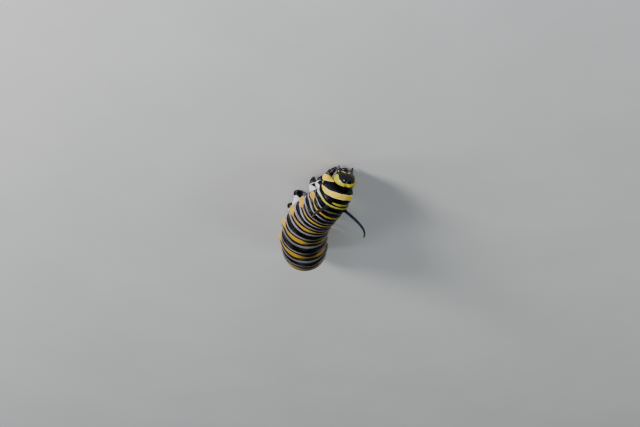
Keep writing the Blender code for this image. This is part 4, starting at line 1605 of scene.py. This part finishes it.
# %% Fine hairs
HAIR_COLUMNS = 4
HAIR_SHARES = np.array((0.0, 0.35, 0.7, 1.0))
HAIR_RADII = 0.009 * np.array((1.0, 0.85, 0.55, 0.15))
HAIR_ACROSS = (0.31, 0.52, 0.79)  # any direction that no hair follows
HAIR_BEND = 0.12 * np.array((0.0, 0.9, -0.4))  # tailwards and down, as shares of its length
SKIN_HAIRS = 800
HEAD_HAIRS = 80
HEAD_HAIR_LENGTHS = (0.14, 0.32)
ROOT_DEPTH = 0.02
lottery = np.random.default_rng(11)


def hairs(roots, ways, sizes):
    """Square cones from roots along ways, bending tailwards with the square of the share."""
    ways = unit(ways)
    first = unit(np.cross(ways, HAIR_ACROSS))
    reach = sizes[:, None, None] * HAIR_SHARES[:, None]
    bent = sizes[:, None, None] * (HAIR_SHARES**2)[:, None] * HAIR_BEND
    stations = roots[:, None] + reach * ways[:, None] + bent
    wheel = wheels(first[:, None], np.cross(ways, first)[:, None], HAIR_COLUMNS)
    points = stations[:, :, None] + HAIR_RADII[:, None, None] * wheel
    index = np.arange(points.size // 3).reshape(points.shape[:3])
    caps = np.concatenate([index[:, 0, ::-1], index[:, -1]])
    return points.reshape(-1, 3), np.vstack([grid_quads(index), caps]), no_triangles


def drawn(weights, count):
    """Indices drawn without repeats, each with a chance in keeping with its weight."""
    return lottery.choice(len(weights), count, replace=False, p=weights / weights.sum())


def skin_hairs():
    """Hairs on the skin: many on the limbs and the belly, few on the back."""
    normals = skin_normals()
    weights = 0.05 + 0.5 * ramp(around_side, 95, 120) + 1.6 * limb
    weights = weights * (skin_points[:, 2] > 0.5)
    k = drawn(weights, SKIN_HAIRS)
    sizes = (0.1 + 0.16 * limb[k]) * lottery.uniform(0.7, 1.3, len(k))
    ways = normals[k] + 0.25 * lottery.standard_normal((len(k), 3))
    return hairs(skin_points[k] - ROOT_DEPTH * normals[k], ways, sizes)


def head_hairs():
    """Longer hairs scattered over the face."""
    places = in_head(hl, hf, hu).reshape(-1, 3)
    weights = np.ravel((hf > -0.3) * np.hypot(hl, hu))
    k = drawn(weights, HEAD_HAIRS)
    ways = places[k] - head_middle + 0.3 * lottery.standard_normal((len(k), 3))
    sizes = lottery.uniform(*HEAD_HAIR_LENGTHS, len(k))
    return hairs(head_middle + 0.99 * (places[k] - head_middle), ways, sizes)


hair_piece = add_piece("fine_hairs", join([skin_hairs(), head_hairs()]), horn_finish, "black_horn")
print("hairs:", len(hair_piece.data.polygons) // (len(HAIR_SHARES) * HAIR_COLUMNS - 2))

# %% [markdown]
# ## Long feelers
#
# Two pairs of black, fleshy feelers stand on the back: a long pair over the second segment and a
# short pair near the tail. They aren't horns: they are soft, ringed all the way along, and taper
# to a blunt tip. A fine ripple on the radius makes the rings.

# %% Long feelers
TENTACLE_DEPTH = 0.6
TENTACLE_RADII = (0.235, 0.1)
TENTACLE_ROWS = 420
TENTACLE_COLUMNS = 28
TENTACLE_FOOT = (0.13, 0.3)  # how much wider the foot is, and how far that reaches
RING_LENGTH = 0.13
RING_DEPTH = 0.014
# For each: its segment, the share of it, degrees round, lengths in the solids, and the offsets
# from the skin, in mm, of the three points that bend it.
TENTACLES = {
    "front_left": ("thorax_2", 0.62, 40, 3, ((0.9, -2.1, 1.5), (2.1, -4.3, 3.0), (2.2, -6.2, 4.9))),
    "front_right": ("thorax_2", 0.62, -40, 3, ((-1.2, -1.4, 2), (-3.5, -2.8, 4.6), (-2.7, -3.9, 6.6))),
    "rear_left": ("abdomen_8", 0.55, 38, 2, ((0.2, 0.9, 0.3), (0.7, 2.4, -0.4), (0.7, 3.6, -1.8))),
    "rear_right": ("abdomen_8", 0.55, -38, 2, ((-0.2, 0.9, 0.3), (-0.5, 2.3, -0.5), (-0.6, 3.4, -1.9))),
}


def long_feeler(name):
    """Radius: a taper, a wider foot, a ripple for the rings and a rounded tip."""
    segment, share, degrees, _, bend = TENTACLES[name]
    root, outward = on_body(segment, share, degrees, TENTACLE_DEPTH)
    surface = root + TENTACLE_DEPTH * outward
    controls = [root] + [surface + offset for offset in bend]
    t = np.linspace(0, 1, TENTACLE_ROWS)
    path = bezier(controls, t)
    reach = np.concatenate([[0], np.cumsum(np.linalg.norm(np.diff(path, axis=0), axis=1))])
    foot, tip = TENTACLE_RADII
    radii = foot + (tip - foot) * t**2
    radii = radii + TENTACLE_FOOT[0] * bell(reach - TENTACLE_DEPTH, TENTACLE_FOOT[1])
    radii = radii * (1 + RING_DEPTH * np.sin(2 * np.pi * reach / RING_LENGTH))
    from_tip = np.clip((reach[-1] - reach) / tip, 0, 1)
    radii = radii * np.sqrt(1 - (1 - from_tip) ** 2 * 0.97)
    return sweep(path, radii, TENTACLE_COLUMNS)


for feeler_name, row in TENTACLES.items():
    held = [f"tentacle_{feeler_name}_{k + 1}" for k in range(row[3])]
    name = f"long_feeler_{feeler_name}"
    add_piece(name, long_feeler(feeler_name), feeler_finish, "black_skin", *held)
print("long feelers:", len(TENTACLES))

# %% [markdown]
# ## Floor and light
#
# A plain pale floor, and wide lamps so that the highlights are broad and soft. The key lamp
# stands low in front of the left side, as the light falls in the picture. A weaker one beside it
# lights the left flank, a bluish one gives the head its shine, one behind parts the rear from the
# floor, and a faint one from the right keeps the shaded side from going black.

# %% Floor
FLOOR_HALF = 1.5
CORNERS = ((-1, -1), (1, -1), (1, 1), (-1, 1))
floor_mesh = bpy.data.meshes.new("floor")
corner_points = [(x * FLOOR_HALF, y * FLOOR_HALF, 0) for x, y in CORNERS]
floor_mesh.from_pydata(corner_points, [], [(0, 1, 2, 3)])
floor = in_scene("floor", floor_mesh)
floor_finish = Nodes("pale floor")
tint = floor_finish.steps(floor_finish.noise(60, 3.0), 0.3, 0.7)
floor_finish.feed(Base_Color=floor_finish.blend(tint, (0.84, 0.84, 0.82), (0.88, 0.88, 0.86)))
floor_finish.feed(Roughness=floor_finish.steps(floor_finish.noise(400), 0.3, 0.7, 0.75, 0.85))
floor_mesh.materials.append(floor_finish.material)


# %% Lights
# For each lamp: its place and side in mm, its power in watts, and its colour.
LAMPS = {
    "key": ((175, -180, 65), 65, 0.8, (1.0, 0.98, 0.95)),
    "side": ((225, 40, 95), 80, 0.14, (0.92, 0.95, 1.0)),
    "face": ((-12, -250, 34), 42, 0.26, (0.66, 0.72, 1.0)),
    "back": ((40, 190, 190), 90, 0.05, (0.95, 0.97, 1.0)),
    "fill": ((-200, 10, 90), 110, 0.1, (0.9, 1.0, 0.94)),
}
ROOM_COLOUR = (0.8, 0.86, 0.92)
ROOM_LIGHT = 0.13


def soft_lamp(name, place, size, power, colour):
    """A square lamp, turned to face the middle of the body."""
    lamp = bpy.data.lights.new(name, "AREA")
    lamp.shape = "SQUARE"
    lamp.size = size * MM
    lamp.energy = power
    lamp.color = colour
    back = unit(place - FOCUS)
    side = unit(np.cross((0.0, 0.0, 1.0), back))
    in_scene(name, lamp).matrix_world = stance(side, np.cross(back, side), back, place)


for lamp_name, lamp_row in LAMPS.items():
    soft_lamp(lamp_name, *lamp_row)
world = bpy.data.worlds.new("soft room")
world.use_nodes = True
background = world.node_tree.nodes["Background"]
background.inputs["Color"].default_value = (*ROOM_COLOUR, 1)
background.inputs["Strength"].default_value = ROOM_LIGHT
bpy.context.scene.world = world
print("lamps:", len(bpy.data.lights))
